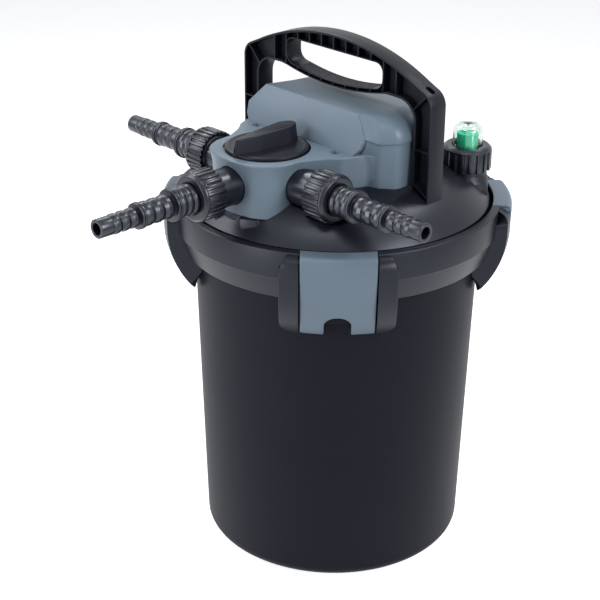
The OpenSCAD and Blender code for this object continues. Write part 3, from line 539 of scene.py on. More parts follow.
# Places of the latches in degrees round the drum, and the latch
latchAngles = {"front": -45, "right": 45, "back": 135, "left": 225}
latch = {
    "halfWidth": 40,
    "top": 422.5,
    "low": 323,
    "bulgeHeight": 412,
    "bulgeRadius": 150,
    "bulgeOffset": 47.5,
    "thickness": 4,
    "notchWidth": 29,
    "notchTop": 350,
    "earThickness": 4,
    "hookNear": 16,
    "hookFar": 38,
    "hookInner": 165,
    "hookOuter": 171,
    "hookLow": 330.5,
    "hookHigh": 335.5,
}


def drumRadius(height):
    return drum["baseRadius"] + (drum["topRadius"] - drum["baseRadius"]) * height / drum["ringHeight"]


def makeDrum():
    d = drum
    wall = d["topRadius"] - d["boreRadius"] + 0.9
    profile = rounded([
        (0, 0, 0), (d["baseRadius"] - 0.6, 0, d["baseEdge"]), (d["topRadius"], d["ringHeight"], 0),
        (d["topRadius"], d["rimLow"], 0), (d["rimRadius"], d["rimLow"] + 3, 0.6),
        (d["rimRadius"], d["rimHeight"], 0.8), (d["boreRadius"], d["rimHeight"], 0.8),
        (d["boreRadius"], d["rimLow"], 0),
        (d["topRadius"] - wall, d["ringHeight"], 0), (d["baseRadius"] - wall, d["baseEdge"], 0),
        (d["baseRadius"] - d["baseEdge"], d["floor"], 0), (0, d["floor"], 0),
    ], steps=10)
    parts = [revolve(profile, 192, closed=False)]
    half, inner = d["catchHalf"], drumRadius(d["catchLow"]) - 2
    for angle in latchAngles.values():
        catch = block((inner, -half, d["catchLow"]), (d["catchRadius"], half, d["catchHigh"]), 1)
        for cut in range(-35, 36, 5):
            sliced(catch, (0, cut, 0), (0, 1, 0))
        wrapped(catch)
        parts.append(moved(catch, turn=angle))
    buildObject("drumShell", joined(parts), "housing", "drum_plastic", ["bucket", "drum_catches"])


makeDrum()


# Lid

lid = {
    "radius": 172,
    "edgeHeight": 421,
    "rise": 47,
    "power": 5,
    "flangeRadius": 180,
    "flangeLow": 406,
    "flangeHigh": 410,
    "wall": 4,
    "spigotOuter": 159,
    "spigotInner": 155.5,
    "spigotLow": 390,
}
# The pieces that the lid carries: the valve, the flow indicator and the ports' directions
valve = {"y": -109, "port": 470.5, "pedestalRadius": 52.5, "pedestalTop": 440}
indicator = {
    "centre": (102, 102),
    "nutLow": 453,
    "nutTop": 480,
    "nutRadius": 28,
    "nutBore": 20.1,
    "nutRibs": 18,
    "domeRadius": 16.9,
    "domeTop": 503,
    "domeWall": 1.8,
}
ports = {"right": 0, "front": -90, "left": 180}


# A piece drawn along the upright axis is laid along a port of the valve
def atPort(bm, angle):
    return moved(moved(bm, turn=90, axis="Y"), (0, valve["y"], valve["port"]), angle)


# Height of the lid's crown
def domeHeight(radius):
    return lid["edgeHeight"] + lid["rise"] * (1 - (radius / lid["radius"]) ** lid["power"])


# Height of the crown under a point, for pieces whose feet follow it
def crownUnder(place):
    return domeHeight(min(math.hypot(place.x, place.y), lid["radius"] - 1))


# Places kept free in the lid for the valve, the side nuts and the indicator's nut
def lidPockets():
    pockets = [cylinder(44.3, valve["pedestalTop"] - 0.2, 490, 72, (0, valve["y"]))]
    for angle in (ports["right"], ports["left"]):
        pockets += [atPort(cylinder(22.4, 44, 81), angle), atPort(cylinder(28.4, 76, 112), angle)]
    pockets.append(cylinder(indicator["nutRadius"] + 1.5, indicator["nutLow"] - 0.6, 490, centre=indicator["centre"]))
    return pockets


def makeLid():
    bore = lid["radius"] - lid["wall"]
    radii = [lid["radius"] * math.sin(math.pi / 2 * i / 40) for i in range(41)]
    dome = [(r, domeHeight(r)) for r in radii[:-1]]
    edge = rounded([
        (radii[-2], domeHeight(radii[-2]), 0), (lid["radius"], lid["edgeHeight"], 1.2),
        (lid["radius"], lid["flangeHigh"], 1), (lid["flangeRadius"], lid["flangeHigh"], 0.6),
        (lid["flangeRadius"], lid["flangeLow"], 0.6), (lid["spigotOuter"], lid["flangeLow"], 0),
        (lid["spigotOuter"], lid["spigotLow"], 0.6), (lid["spigotInner"], lid["spigotLow"], 0.6),
        (lid["spigotInner"], lid["flangeLow"], 0), (bore, lid["flangeHigh"] + 3, 0),
    ], steps=4, closed=False)[1:]
    # the wall is a third thicker where the crown turns down
    inner = [
        (r * bore / lid["radius"], domeHeight(r) - lid["wall"] * (1 + 0.35 * (r / lid["radius"]) ** 6))
        for r in reversed(radii)
    ]
    shell = revolve(dome + [tuple(p) for p in edge] + inner, 192, closed=False)
    # the flange is cut back behind each latch, whose top edge swings in there
    gap, gaps = latch["halfWidth"] + 2, []
    for angle in latchAngles.values():
        outside = block((150, -gap, lid["flangeLow"] - 2), (200, gap, lid["flangeHigh"] + 2))
        gaps.append(carved(moved(outside, turn=angle), [cylinder(lid["radius"] + 0.4, 390, 430, 192)]))
    parts = [carved(shell, lidPockets() + gaps)]
    # thicker places under the pockets, shaped to the crown
    crown = revolve([(0, 420)] + [(r, domeHeight(r) - 0.5) for r in reversed(radii)], 96, closed=False)
    pads = [atPort(cylinder(32.4, 72, 116), ports[side]) for side in ("right", "left")]
    pads.append(cylinder(34, 446, 480, centre=indicator["centre"]))
    parts.append(carved(carved(joined(pads), [crown], "INTERSECT"), lidPockets()))
    buildObject("lidShell", joined(parts), "housing", "lid_plastic", ["lid"])
    # round step under the valve, with the two screw lugs of the cover
    radius, top, low = valve["pedestalRadius"], valve["pedestalTop"], 428
    profile = rounded([(0, low, 0), (radius + 1.5, low, 0), (radius, top, 1.2), (0, top, 0)])
    step = [revolve(profile, 96, False, (0, valve["y"]))]
    plan = rounded([(30, -12, 0), (60, -12, 4), (60, 12, 4), (30, 12, 0)])
    for angle in (-62, -118):
        step.append(moved(prism(plan, 420, top, 1.2), (0, valve["y"], 0), angle))
    buildObject("valveStep", joined(step), "housing", "lid_plastic")


makeLid()
print("drum and lid ready")


# Clamp ring and cheeks

ring = {
    "radius": 185.5,
    "top": 422,
    "step": 391,
    "low": 364,
    "lowRadius": 175,
    "lip": 176.3,
    "bore": 165.2,
    "windowHalf": 40.7,
    "windowX": 178.8,
    "windowHeight": 398.5,
    "grooveRadius": 180.5,
    "innerRadius": 172,
}
# The cheeks beside a latch: pillows whose face swells to a peak and rolls over at the top
cheek = {
    "halfWidth": 62,
    "top": 420,
    "low": 321,
    "peak": 197.7,
    "peakHeight": 396,
    "swell": 104.6,
    "roll": 14,
    "thickness": 22,
    "lowRadius": 22,
    "edge": 6,
    "gap": 0.7,
    "backRadius": 163.2,
}


# Radius of the latch's face at a height: it falls away in a round bulge below its peak
def bulge(height):
    drop = min(latch["bulgeHeight"] - height, latch["bulgeRadius"] - 1)
    return latch["bulgeOffset"] + math.sqrt(latch["bulgeRadius"] ** 2 - max(drop, 0) ** 2)


# Running length along a line of points
def runLengths(points):
    lengths = [0.0]
    for a, b in zip(points, points[1:]):
        lengths.append(lengths[-1] + math.dist(a, b))
    return points, lengths


# Points (radius, height) up a face from a low height to its peak
def facePoints(radiusAt, low, peak):
    return [(radiusAt(z), z) for z in (low + i * (peak - low) / 24 for i in range(25))]


# Up the latch's face and over its top edge
def latchPath():
    peak, top = latch["bulgeHeight"], latch["top"]
    corners = [(bulge(peak), peak, 0), (bulge(peak), top, 6), (ring["lip"], top, 0)]
    turn = rounded(corners, 8, closed=False)
    return runLengths(facePoints(bulge, 310, peak) + [tuple(p) for p in turn[1:]])


# Up a cheek's pillow and over its rolled top
def cheekPath():
    c = cheek
    peak, height, swell = c["peak"], c["peakHeight"], c["swell"]
    face = facePoints(lambda z: peak - swell + math.sqrt(swell**2 - (height - z) ** 2), 300, height)
    turn = rounded([(peak, height, 0), (peak, c["top"], c["roll"]), (150, c["top"], 0)], 10, closed=False)
    return runLengths(face + [tuple(p) for p in turn[1:]])


# Point at a running length, with the direction that faces outwards there
def alongPath(points, lengths, s):
    i = 0
    while i < len(lengths) - 2 and lengths[i + 1] < s:
        i += 1
    a, b = Vector(points[i]), Vector(points[i + 1])
    t = (s - lengths[i]) / (lengths[i + 1] - lengths[i])

    def slope(k):
        k = min(max(k, 0), len(points) - 1)
        u, v = Vector(points[max(k - 1, 0)]), Vector(points[min(k + 1, len(points) - 1)])
        d = (v - u).normalized()
        return Vector((d.y, -d.x))

    return a + (b - a) * t, (slope(i) * (1 - t) + slope(i + 1) * t).normalized()


# A plate drawn flat as (across, along, thickness) and bent on to the drum's round side
def bent(bm, path, thickness, least=0.0):
    points, lengths = path
    low = min(v.co.y for v in bm.verts)
    high = max(v.co.y for v in bm.verts)
    for s in lengths:
        if low < s < high:
            sliced(bm, (0, s, 0), (0, 1, 0))
    for across in range(-60, 61, 6):
        sliced(bm, (across, 0, 0), (1, 0, 0))
    for v in bm.verts:
        across, s, h = v.co
        place, outward = alongPath(points, lengths, s)
        place = place + outward * (h - thickness)
        radius = max(place.x, least)
        v.co = (math.sqrt(radius**2 - across**2), across, place.y)
    return bm


# Running length at which a path passes a height
def pathStart(path, height):
    points, lengths = path
    for i, (_, z) in enumerate(points):
        if z > height:
            a, b = points[i - 1], points[i]
            return lengths[i - 1] + (lengths[i] - lengths[i - 1]) * (height - a[1]) / (b[1] - a[1])
    return lengths[-1]


# A prism across a latch, its outline drawn in radius and height
def acrossLatch(outline, low, high, edge=0.0):
    return moved(prism([(x, -z) for x, z in outline], low, high, edge), turn=-90, axis="X")


# What the ring leaves free behind a latch and its swing
def windowCutter(angle):
    half, top, foot = ring["windowHalf"], ring["windowHeight"], ring["low"] + 2
    outline = [(150, top), (ring["windowX"], top), (ring["windowX"], foot), (150, foot),
               (150, 300), (240, 300), (240, 440), (150, 440)]
    return moved(acrossLatch(outline, -half, half), turn=angle)


def makeRing():
    r = ring
    profile = rounded([
        (r["lip"], r["top"], 0.7), (r["radius"], r["top"], 1.4), (r["radius"] - 0.3, r["step"], 1.2),
        (r["radius"] - 1.9, r["step"] - 1, 0.6), (r["lowRadius"], r["low"], 2), (r["bore"], r["low"], 0.5),
        (r["bore"], r["low"] + 4, 0), (r["innerRadius"], r["low"] + 6, 0), (r["innerRadius"], 399.5, 0),
        (r["grooveRadius"], 404.5, 0), (r["grooveRadius"], 410.2, 0), (r["lip"], 410.2, 0),
    ], steps=4)
    band = carved(revolve(profile, 256), [windowCutter(angle) for angle in latchAngles.values()])
    buildObject("clampBand", band, "housing", "ring_plastic", ["clamp_ring"])
    c = cheek
    path = cheekPath()
    low, top = pathStart(path, c["low"]), pathStart(path, c["top"] - 0.4) + 3
    parts = []
    for angle in latchAngles.values():
        for side in (1, -1):
            inner, outer = (r["windowHalf"] + c["gap"]) * side, c["halfWidth"] * side
            corners = [(inner, low, 0), (outer, low, c["lowRadius"]), (outer, top - 22, 26),
                       (outer - 9 * side, top, 9), (inner, top, 0)]
            lobe = prism(rounded(corners, 10), 0, c["thickness"])
            roundEdges(lobe, c["edge"], 5, 50, lambda a, b: min(a.z, b.z) > c["thickness"] - 1)
            parts.append(moved(bent(lobe, path, c["thickness"], c["backRadius"]), turn=angle))
    buildObject("latchCheeks", joined(parts), "housing", "ring_plastic")


makeRing()


def makeLatches():
    h = latch
    path = latchPath()
    low, top = pathStart(path, h["low"]), path[1][-1]
    w, n = h["halfWidth"], h["notchWidth"] / 2
    notchTop = pathStart(path, h["notchTop"])
    outline = rounded([
        (-w, low, 2), (-n, low, 1.5), (-n, notchTop, n - 0.5), (n, notchTop, n - 0.5), (n, low, 1.5), (w, low, 2),
        (w, top, 1), (-w, top, 1)], 8)
    # side web round the pin
    ear = rounded([(176.6, 414, 7), (180, 421.3, 1), (190, 421.3, 3), (192.4, 415, 0), (192.4, 400, 0),
                   (190.4, 388, 0), (187, 388, 1), (183, 406.5, 5)], 4)
    for place, angle in latchAngles.items():
        parts = [bent(prism(outline, 0, h["thickness"], 1.1, (), 3), path, h["thickness"])]
        for side in (1, -1):
            parts.append(acrossLatch(ear, *sorted((side * (w - h["earThickness"]), side * w)), 0.4))
            near, far = sorted((side * h["hookNear"], side * h["hookFar"]))
            hook = block((h["hookInner"], near, h["hookLow"]), (h["hookOuter"], far, h["hookHigh"]), 0.6)
            wrapped(hook)
            parts.append(hook)
        body = moved(joined(parts), turn=angle)
        buildObject("latchPlate." + place, body, "latch_" + place, "cover_plastic", ["latch_" + place])


makeLatches()
print("ring and latches ready")


# Hose tails and nuts

tail = {
    "stubRadius": 20.5,
    "stubEnd": 98,
    "nutFace": 108,
    "nutLength": 28.5,
    "nutRadius": 26.6,
    "nutBore": 21.8,
    "ribs": 26,
    "ribDepth": 1.7,
    "end": 227,
    "land": 15,
    # radius, start, end and barbs of each hose step
    "steps": ((16.5, 105, 136, 3), (13.0, 136, 179, 3), (10.0, 179, 227, 3)),
    # radius of the bore at distances from the valve's axis
    "bore": ((6.4, 175, 0), (9.6, 171, 0), (9.6, 132, 0), (13, 128, 0), (13, 100, 0)),
}


def makeTails():
    t = tail
    outline = [(t["stubRadius"], 100, 0), (t["stubRadius"], 103.7, 0), (15.9, 103.7, 0)]
    followers = [step[0] for step in t["steps"][1:]]
    for radius, start, end, teeth in t["steps"]:
        last = end == t["end"]
        stop = end - t["land"] if last else end - 5
        pitch = (stop - start - 1) / teeth
        swell = 0.6 if last else 0
        for i in range(teeth):
            x = start + 1 + i * pitch
            outline += [(radius + swell - 1.1, x, 1.2), (radius + swell + 0.1, x + pitch * 0.3, 3),
                        (radius + swell + 0.1, x + pitch * 0.65, 3), (radius + swell - 1.1, x + pitch * 0.97, 1.2)]
        if last:
            outline += [(radius, stop + 0.5, 0.5), (radius, end, 0.9)]
        else:
            # a double ring ends each step
            outline += [(radius + 1.1, end - 4.8, 0.6), (radius + 1.1, end - 2.9, 0.6), (radius + 0.1, end - 2.6, 0.3),
                        (radius + 0.1, end - 2.1, 0.3), (radius + 0.9, end - 1.8, 0.6), (radius + 0.8, end, 0.7),
                        (followers.pop(0) - 1.2, end, 0.4)]
    profile = rounded([*outline, (t["bore"][0][0], t["end"], 0.6), *t["bore"]], 3)
    for place, angle in ports.items():
        body = atPort(revolve(profile, 96), angle)
        buildObject("hoseTail." + place, body, "housing", "fitting_plastic", ["hose_tail_" + place])


# Round outline with raised ribs, each as wide as its share of the pitch
def ribbedOutline(radius, ribs, depth, share=0.55):
    corners = []
    for i in range(ribs):
        for turn, r, soft in ((-share / 2 - 0.02, radius - depth, 0.2), (-share / 2 + 0.04, radius, 0.35),
                              (share / 2 - 0.04, radius, 0.35), (share / 2 + 0.02, radius - depth, 0.2)):
            a = 2 * math.pi * (i + turn) / ribs
            corners.append((r * math.cos(a), r * math.sin(a), soft))
    return rounded(corners, 2)


def makeNuts():
    t = tail
    face, radius, bore = t["nutFace"], t["nutRadius"], t["nutBore"]
    outline = ribbedOutline(radius, t["ribs"], t["ribDepth"])
    profile = rounded([
        (bore, face - 6, 0), (radius - 1.0, face - 6, 0.3), (radius - 0.6, face - 4.5, 0.8),
        (radius - 0.8, face - 3, 0.8), (radius - 3.4, face, 1.2), (17.1, face, 0.8), (17.1, face - 4, 0),
        (bore, face - 4, 0)], 3)
    for place, angle in ports.items():
        grip = prism(outline, face - t["nutLength"], face - 5, 0.7, [circle(bore, 72)], 2)
        front = revolve(profile, 96)
        body = atPort(joined([grip, front]), angle)
        buildObject("unionNut." + place, body, "nut_" + place, "fitting_plastic", ["union_nut_" + place])


makeTails()
makeNuts()
print("hose fittings ready")


# Handle

handle = {
    "y": 1,
    "depth": 23,
    "outerX": 143.5,
    "innerX": 119.5,
    "crownTop": 604,
    "crownRadius": 262,
    "shoulderRadius": 18,
    "archTop": 556,
    "gripLow": 546.5,
    "slotX": 73,
    "slotTop": 587,
    "slotLow": 552,
    "rim": 2.6,
    "thinRim": 1.3,
    "rib": 1.5,
    "ribPitch": 18.5,
    "web": 3,
    "footFloor": 466,
    "shoulderPlace": (131, 570),
    "shoulderLean": 24.5,
}


# A loop drawn in by a distance, or by a function of each point
def offsetLoop(loop, distance):
    inner = []
    for i, here in enumerate(loop):
        back = (here - loop[i - 1]).normalized()
        ahead = (loop[(i + 1) % len(loop)] - here).normalized()
        a, b = Vector((-back.y, back.x)), Vector((-ahead.y, ahead.x))
        d = distance(here) if callable(distance) else distance
        inner.append(here + (a + b) / max(1 + a.dot(b), 0.5) * d)
    return inner


# Height of the handle's outer arc
def archOver(x):
    radius = handle["crownRadius"]
    return handle["crownTop"] - radius + math.sqrt(radius**2 - x * x)


# Height of the underside of the grip, up to where it meets the arch
def gripUnder(x):
    return min(handle["gripLow"] + 8.5 * (x / handle["slotX"]) ** 2, handle["archTop"])


# Height of the hand slot's lower edge
def slotFloor(x):
    return handle["slotLow"] + 9 * (x / handle["slotX"]) ** 2


def handleOutline():
    h = handle
    ox, ix = h["outerX"], h["innerX"]
    shoulder, arch = archOver(ox) + 3, h["archTop"] - 1
    top = [(x, archOver(x), 0) for x in range(120, -121, -8)]
    right = [(ox, 446, 0), (ox, shoulder, h["shoulderRadius"])]
    left = [(-ox, shoulder, h["shoulderRadius"]), (-ox, 446, 0)]
    under = [(x, gripUnder(x), 0) for x in range(-88, 89, 8)]
    return rounded([*right, *top, *left, (-ix, 458, 0), (-ix, arch, 22), *under, (ix, arch, 22), (ix, 458, 0)], 10)


def slotOutline():
    sx, top = handle["slotX"], handle["slotTop"]
    low = slotFloor(sx) - 1
    floor = [(x, slotFloor(x), 0) for x in range(-56, 57, 8)]
    return rounded([(-sx, top, 10), (-sx, low, 12), *floor, (sx, low, 12), (sx, top, 10)], 8)


# Drawn in X and Z, raised along Y
def upright(bm):
    return moved(bm, (0, handle["y"], 0), 90, "X")


def makeHandle():
    h = handle
    half = h["depth"] / 2
    outline, slot = handleOutline(), slotOutline()

    def rimWidth(p):
        return h["thinRim"] if abs(p.x) < 76 and p.y < 560 else h["rim"]

    # a bar across the right shoulder's slope: the slot there, and the blind cup under it
    def shoulderBar(halfLength, halfWidth, low, high):
        plan = [(u * halfLength, v * halfWidth, 3.3) for u, v in ((-1, -1), (1, -1), (1, 1), (-1, 1))]
        bar = moved(prism(rounded(plan, 6), low, high), turn=h["shoulderLean"], axis="Y")
        return moved(bar, (h["shoulderPlace"][0], h["y"], h["shoulderPlace"][1]))

    def slotted(bm):
        return carved(bm, [shoulderBar(6, 3.4, -7.5, 6)])

    webHalf = h["web"] / 2
    rim = prism(outline, -half, half, 0.6, [offsetLoop(outline, rimWidth)])
    slotRim = prism(offsetLoop(slot, -h["thinRim"]), -half, half, 0.5, [slot])
    web = prism(offsetLoop(outline, 1), -webHalf, webHalf, 0, [offsetLoop(slot, -0.6)])
    parts = [slotted(upright(rim)), upright(slotRim), slotted(upright(web)), slotted(shoulderBar(7.5, 4.9, -9, -3.2))]

    def rib(points):
        parts.append(upright(prism(points, 0.05 - half, half - 0.05, 0.35)))

    def uprightRib(x, low, high):
        r = h["rib"] / 2
        rib([(x - r, low), (x + r, low), (x + r, high), (x - r, high)])

    for k in range(-5, 6):
        x = k * h["ribPitch"]
        inSlot = abs(x) < h["slotX"] - 1
        uprightRib(x, h["slotTop"] + 0.5 if inSlot else gripUnder(x) + 1, archOver(x) - 1.5)
        if inSlot:
            uprightRib(x, gripUnder(x) + 0.5, slotFloor(x) - 0.5)
    # on each post a slanting rib, a level one and the sloping floor of the foot
    foot = h["footFloor"]
    for side in (1, -1):
        start, end = Vector((side * 116, 546)), Vector((side * 134.5, 565))
        across = Vector((start.y - end.y, end.x - start.x)).normalized() * h["rib"] / 2
        rib([start - across, end - across, end + across, start + across])
        for inner, outer, thick in ((504.5, 504.5, 1.5), (foot, foot - 12, 2)):
            corners = [(120, inner), (142, outer), (142, outer + thick), (120, inner + thick)]
            rib([(side * x, z) for x, z in corners][::side])
    # ridges along the top of the grip
    line = range(-56, 57, 8)
    ridge = [(x, slotFloor(x) + 0.5) for x in line] + [(x, slotFloor(x) - 0.4) for x in reversed(line)]
    for y in range(-8, 9, 4):
        parts.append(upright(prism(ridge, y - 0.9, y + 0.9, 0.3, (), 1)))
    body = joined(parts)
    # the feet follow the lid's crown
    for v in body.verts:
        if v.co.z < 470:
            v.co.z = max(v.co.z, crownUnder(v.co) - 1)
    buildObject("handleBody", body, "housing", "handle_plastic", ["handle"], 32)


makeHandle()
print("handle ready")


# Cover over valve and lamp housing

cover = {
    "deck": 500,
    "top": 540,
    "crease": 514,
    "panelPoint": (-53.5, 518.7),
    "panelLean": 0.433,
    "panelOutline": ((71.5, 539.7, 4), (89.5, 518.7, 2), (87, 507, 7), (80, 499.2, 8), (76, 494, 0)),
    "panelThickness": 5,
    "wallInset": 1.8,
    "taper": 2.5,
    "foot": 440,
    "columnRadius": 52.8,
    "columnPower": 2.7,
    "flare": 3.2,
    "flareHeight": 476,
    "deckEdge": 1.6,
    "seatRadius": 47,
}
# Plans of the housing's ends, from the panel's edge to the back: along the crease and along the top
rightEnd = {
    "crease": ((88.6, -52.2, 0), (104, -43, 14), (117.2, -26, 20), (117.2, 52, 34), (0, 52, 0)),
    "top": ((71.2, -43.2, 0), (79, -37, 12), (84, -22, 16), (84, 38, 26), (0, 40, 0)),
}
leftEnd = {
    "crease": ((88.6, -52.2, 0), (98, -43.5, 10), (112, -22, 30), (112, 50, 34), (0, 52, 0)),
    "top": ((71.2, -43.2, 0), (68, -33, 12), (61, -8, 30), (54, 34, 18), (0, 40, 0)),
}


# Where the panel's face lies at a height
def panelY(z):
    y, height = cover["panelPoint"]
    return y + cover["panelLean"] * (z - height)


# A point of a plan moved towards the housing's middle
def drawnIn(point, distance):
    return point + (Vector((0, 10)) - point).normalized() * distance


# Rings of the housing: an inset wall, the crease, and a shoulder that goes up to the flat top
def housingRings():
    c = cover
    steps = 12
    plans = []
    for end, side, rolled in ((rightEnd, 1, True), (leftEnd, -1, False)):
        crease = rounded(end["crease"], 8, closed=False)
        top = rounded(end["top"], 8, closed=False)
        if side < 0:
            crease, top = crease[::-1], top[::-1]
        plans += [(low, high, side, rolled) for low, high in zip(crease, top)][side < 0 :]
    start = plans[0][0]

    # the crease climbs to the panel's corner
    def height(low):
        near = max(0, 1 - math.dist(low, start) / 14)
        return c["crease"] + (c["panelPoint"][1] - 0.5 - c["crease"]) * near**2

    # under the crease, drawn in by an inset
    def wall(inset, drop=None):
        points = []
        for low, _, side, _ in plans:
            spot = drawnIn(low, inset)
            points.append((spot.x * side, spot.y, c["foot"] if drop is None else height(low) - drop))
        return points

    # over the crease: a straight slope at the left end, and a round one at the right
    def shoulder(t, inset=0):
        points = []
        turn = math.pi / 2 * t
        for low, high, side, rolled in plans:
            away = min(1, math.dist(low, start) / 22) ** 2 if rolled else 0
            across = (1 - t) * (1 - away) + math.cos(turn) * away
            rise = t * (1 - away) + math.sin(turn) * away
            spot = high + (low - high) * across
            spot -= spot.normalized() * inset
            z = height(low)
            points.append((spot.x * side, spot.y, z + (c["top"] - z) * rise))
        return points

    inset = c["wallInset"]
    rings = [wall(inset + c["taper"]), wall(inset, 2.2), wall(inset, 1.2), wall(0.5, 1.0), wall(0.1, 0.6)]
    return rings + [shoulder(i / steps) for i in range(steps + 1)] + [shoulder(1, 3)]


# The flat front panel, leaning back, its outline drawn in X and height
def makePanel():
    half = cover["panelOutline"]
    outline = rounded([*half[::-1], *[(-x, z, r) for x, z, r in half]], 6)
    plate = prism(outline, -cover["panelThickness"], 0, 0.9, (), 3)
    out = Vector((0, -1, cover["panelLean"])).normalized()
    for v in plate.verts:
        x, z, depth = v.co
        v.co = Vector((x, panelY(z), z)) + out * depth
    return plate


# How far column and web have flared at a height, from 0 at the waist to 1 at the deck
def flareAt(z):
    return max(0, (z - cover["flareHeight"]) / (cover["deck"] - cover["flareHeight"])) ** 2


# Rounded-square column round the valve, waisted under its deck
def columnRing(z, inset=0):
    radius, power = cover["columnRadius"] + flareAt(z) * cover["flare"] - inset, cover["columnPower"]
    points = []
    for x, y in circle(1, 96):
        reach = radius * (abs(x) ** power + abs(y) ** power) ** (-1 / power)
        points.append((reach * x, valve["y"] + reach * y, z))
    return points


# Web between column and housing, its sides hollow in plan
def webRing(z, inset=0):
    slack = 1 - flareAt(z)
    side = rounded([(40, -140, 0), (56, -113, 12), (68, -88.5, 60), (79, -76, 14),
                    (88.6 + 2.4 * slack, -52.5 + 4.1 * slack, 1 + 23 * slack),
                    (99, -43.7, 3), (95, -36, 0)], 10, closed=False)
    points = []
    for p in side:
        # beside the panel the web runs into the housing's wall, and draws in as that does
        near = min(1, max(0, (p.y + 62) / 12))
        p = drawnIn(p, cover["taper"] * near * max(0, 511 - z) / 71)
        waist = cover["flare"] * slack * min(1, max(0, (-52 - p.y) / 26))
        points.append((p.x - waist - inset, p.y, z))
    return points + [(-x, y, z) for x, y, z in reversed(points)]


def makeCover():
    deck, edge = cover["deck"], cover["deckEdge"]
    heights = (cover["foot"] + 0.7, 476, 480, 484, 488, 492, 495)
    rim = [(deck - edge + edge * math.sin(math.pi / 8 * i), edge * (1 - math.cos(math.pi / 8 * i))) for i in range(5)]

    def seat():
        return cylinder(cover["seatRadius"], deck - 1.2, deck + 20, 96, (0, valve["y"]))

    column = lofted([columnRing(z) for z in heights] + [columnRing(z, i) for z, i in rim])
    # a hair lower than the column, so that the two decks don't share a plane
    web = lofted([webRing(z) for z in heights] + [webRing(z - 0.03, i) for z, i in rim])
    holes = [atPort(cylinder(tail["stubRadius"] + 0.8, 30, 90), angle) for angle in ports.values()]
    screwPockets = [cylinder(6.2, 492, 530, 32, (61 * side, -66)) for side in (1, -1)]
    column, web = carved(column, [seat(), *holes]), carved(web, [seat(), *screwPockets])
    body = joined([lofted(housingRings()), makePanel(), column, web])
    for v in body.verts:
        v.co.z = max(v.co.z, crownUnder(v.co) - 1.2)
    buildObject("headCover", body, "housing", "cover_plastic", ["head_cover"], 40)


makeCover()
print("cover ready")


# Selector knob

knob = {
    "radius": 45,
    "seat": 499.2,
    "disc": 503.6,
    "top": 519.5,
    "nose": 47,
    "back": 41,
    "topShrink": (0.74, 0.95),
    "topShift": 1.2,
    "topSlope": 0.02,
}


def makeKnob():
    radius, seat, top, nose, back, face = (knob[key] for key in ("radius", "seat", "top", "nose", "back", "disc"))
    disc = revolve(rounded([
        (0, seat - 4, 0), (11, seat - 4, 0), (11, seat, 0), (radius, seat, 0), (radius, face - 1, 0.8),
        (radius - 3, face, 0.8), (radius - 7, face - 0.6, 1), (0, face - 0.6, 0)], 3), 96, False, (0, valve["y"]))
    plan = rounded([(-2.4, -nose, 2), (2.4, -nose, 2), (10, -16, 30), (14.5, 26, 14), (8, back, 12),
                    (-8, back, 12), (-14.5, 26, 14), (-10, -16, 30)], 5)
    ridge = prism(plan, face - 2, top)
    # its top is narrower than its foot and slopes down to the nose
    for v in ridge.verts:
        if v.co.z > face:
            v.co.x *= knob["topShrink"][0]
            v.co.y = v.co.y * knob["topShrink"][1] + knob["topShift"]
            v.co.z += knob["topSlope"] * v.co.y
    roundEdges(ridge, 1.1, 3, 40, lambda a, b: a.z > face and b.z > face)
    # a pointer notch in the nose
    tip = valve["y"] - nose
    notch = block((-0.9, tip - 3, face + 1), (0.9, tip + 2.2, top + 4))
    ridge = carved(moved(ridge, (0, valve["y"], 0)), [notch])
    buildObject("knobGrip", joined([disc, ridge]), "selector", "knob_plastic", ["selector_knob"])


makeKnob()


# Valve chamber with its three stubs

def makeStubs():
    radius, end = tail["stubRadius"], tail["stubEnd"]
    profile = rounded([
        (14, 40, 0), (radius, 40, 0), (radius, 79, 0), (21.7, 80, 0), (21.7, end, 0.8), (14, end, 0.8)], 3)
    parts = [atPort(revolve(profile, 72), angle) for angle in ports.values()]
    parts.append(revolve([(34, 446), (44, 446), (44, 495.5), (34, 495.5)], 96, centre=(0, valve["y"])))
    buildObject("valveStubs", joined(parts), "housing", "fitting_plastic", ["valve_body"])


makeStubs()


# Flow indicator

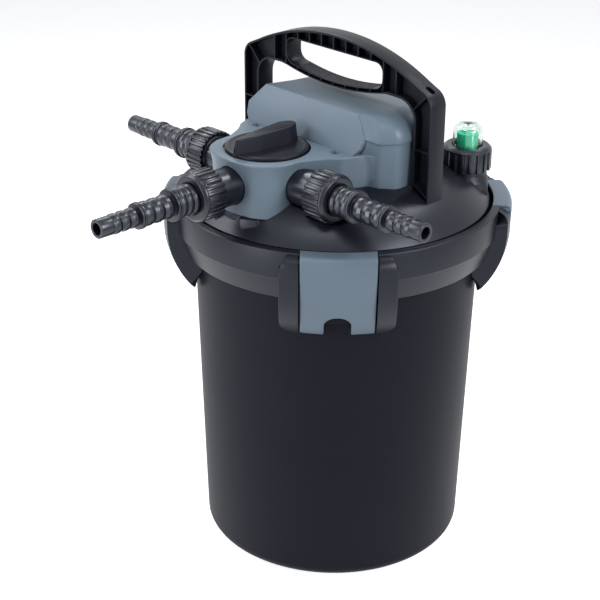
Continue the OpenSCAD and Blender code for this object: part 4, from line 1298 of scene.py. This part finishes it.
def makeIndicator():
    n = indicator
    centre, low, top, radius, bore = (n[key] for key in ("centre", "nutLow", "nutTop", "nutRadius", "nutBore"))
    neck = revolve(rounded([
        (7, 424, 0), (31, 424, 0), (30.5, 434, 3), (26, 441, 6), (23.5, 448, 3), (23.5, low - 0.6, 0.3),
        (20, low - 0.6, 0), (20, 472, 0.5), (13, 472, 0.5), (13, 466, 0), (7, 466, 0)], 4), 72, True, centre)
    # its foot follows the lid's crown and stays inside the crown's edge
    edge = lid["radius"] - 3
    for v in neck.verts:
        floor = crownUnder(v.co) - 1
        reach = math.hypot(v.co.x, v.co.y)
        if reach > edge:
            v.co.x, v.co.y = (w * edge / reach for w in (v.co.x, v.co.y))
        if v.co.z < min(floor, 440):
            v.co.z = floor
    buildObject("indicatorNeck", neck, "housing", "fitting_plastic", ["indicator_base"], 35, slots["lid_plastic"])
    grip = prism(ribbedOutline(radius, n["nutRibs"], 2.0, 0.5), low, top - 4.5, 0.6, [circle(bore, 64)])
    cap = revolve(rounded([
        (bore, top - 5, 0), (radius - 0.4, top - 5, 0.4), (radius - 0.4, top - 3.4, 0.6), (radius - 4, top, 1),
        (17.3, top, 0.8), (17.3, top - 4.6, 0), (bore, top - 4.6, 0)], 3), 72, True, centre)
    nut = joined([moved(grip, (*centre, 0)), cap])
    buildObject("indicatorNut", nut, "indicator_nut", "fitting_plastic", ["indicator_nut"])
    r, tip, wall, foot = n["domeRadius"], n["domeTop"], n["domeWall"], 473.2
    glass = revolve(rounded([
        (19.6, foot, 0), (19.6, 475, 0.3), (r, 475, 0.4), (r, tip, 8.5), (1.6, tip, 0.3), (1.6, tip - wall, 0.3),
        (r - wall, tip - wall, 7), (r - wall, foot, 0)], 6), 96, True, centre)
    buildObject("indicatorDome", glass, "housing", "clear_dome", ["indicator_dome"])
    core = revolve(rounded([
        (0, 466.1, 0), (9, 466.1, 0), (9, 474, 0), (12, 474, 0.5), (12, 494, 1.2), (6.4, 494, 0.5),
        (6.4, 492.4, 0.3), (4, 492.4, 0.3), (4, 493.6, 0.4), (0, 493.6, 0)], 4), 64, False, centre)
    buildObject("indicatorFloat", core, "float", "float_plastic", ["indicator_float"])


makeIndicator()
print("knob, stubs and indicator ready")

scene = bpy.context.scene
scene.view_settings.view_transform = "Standard"
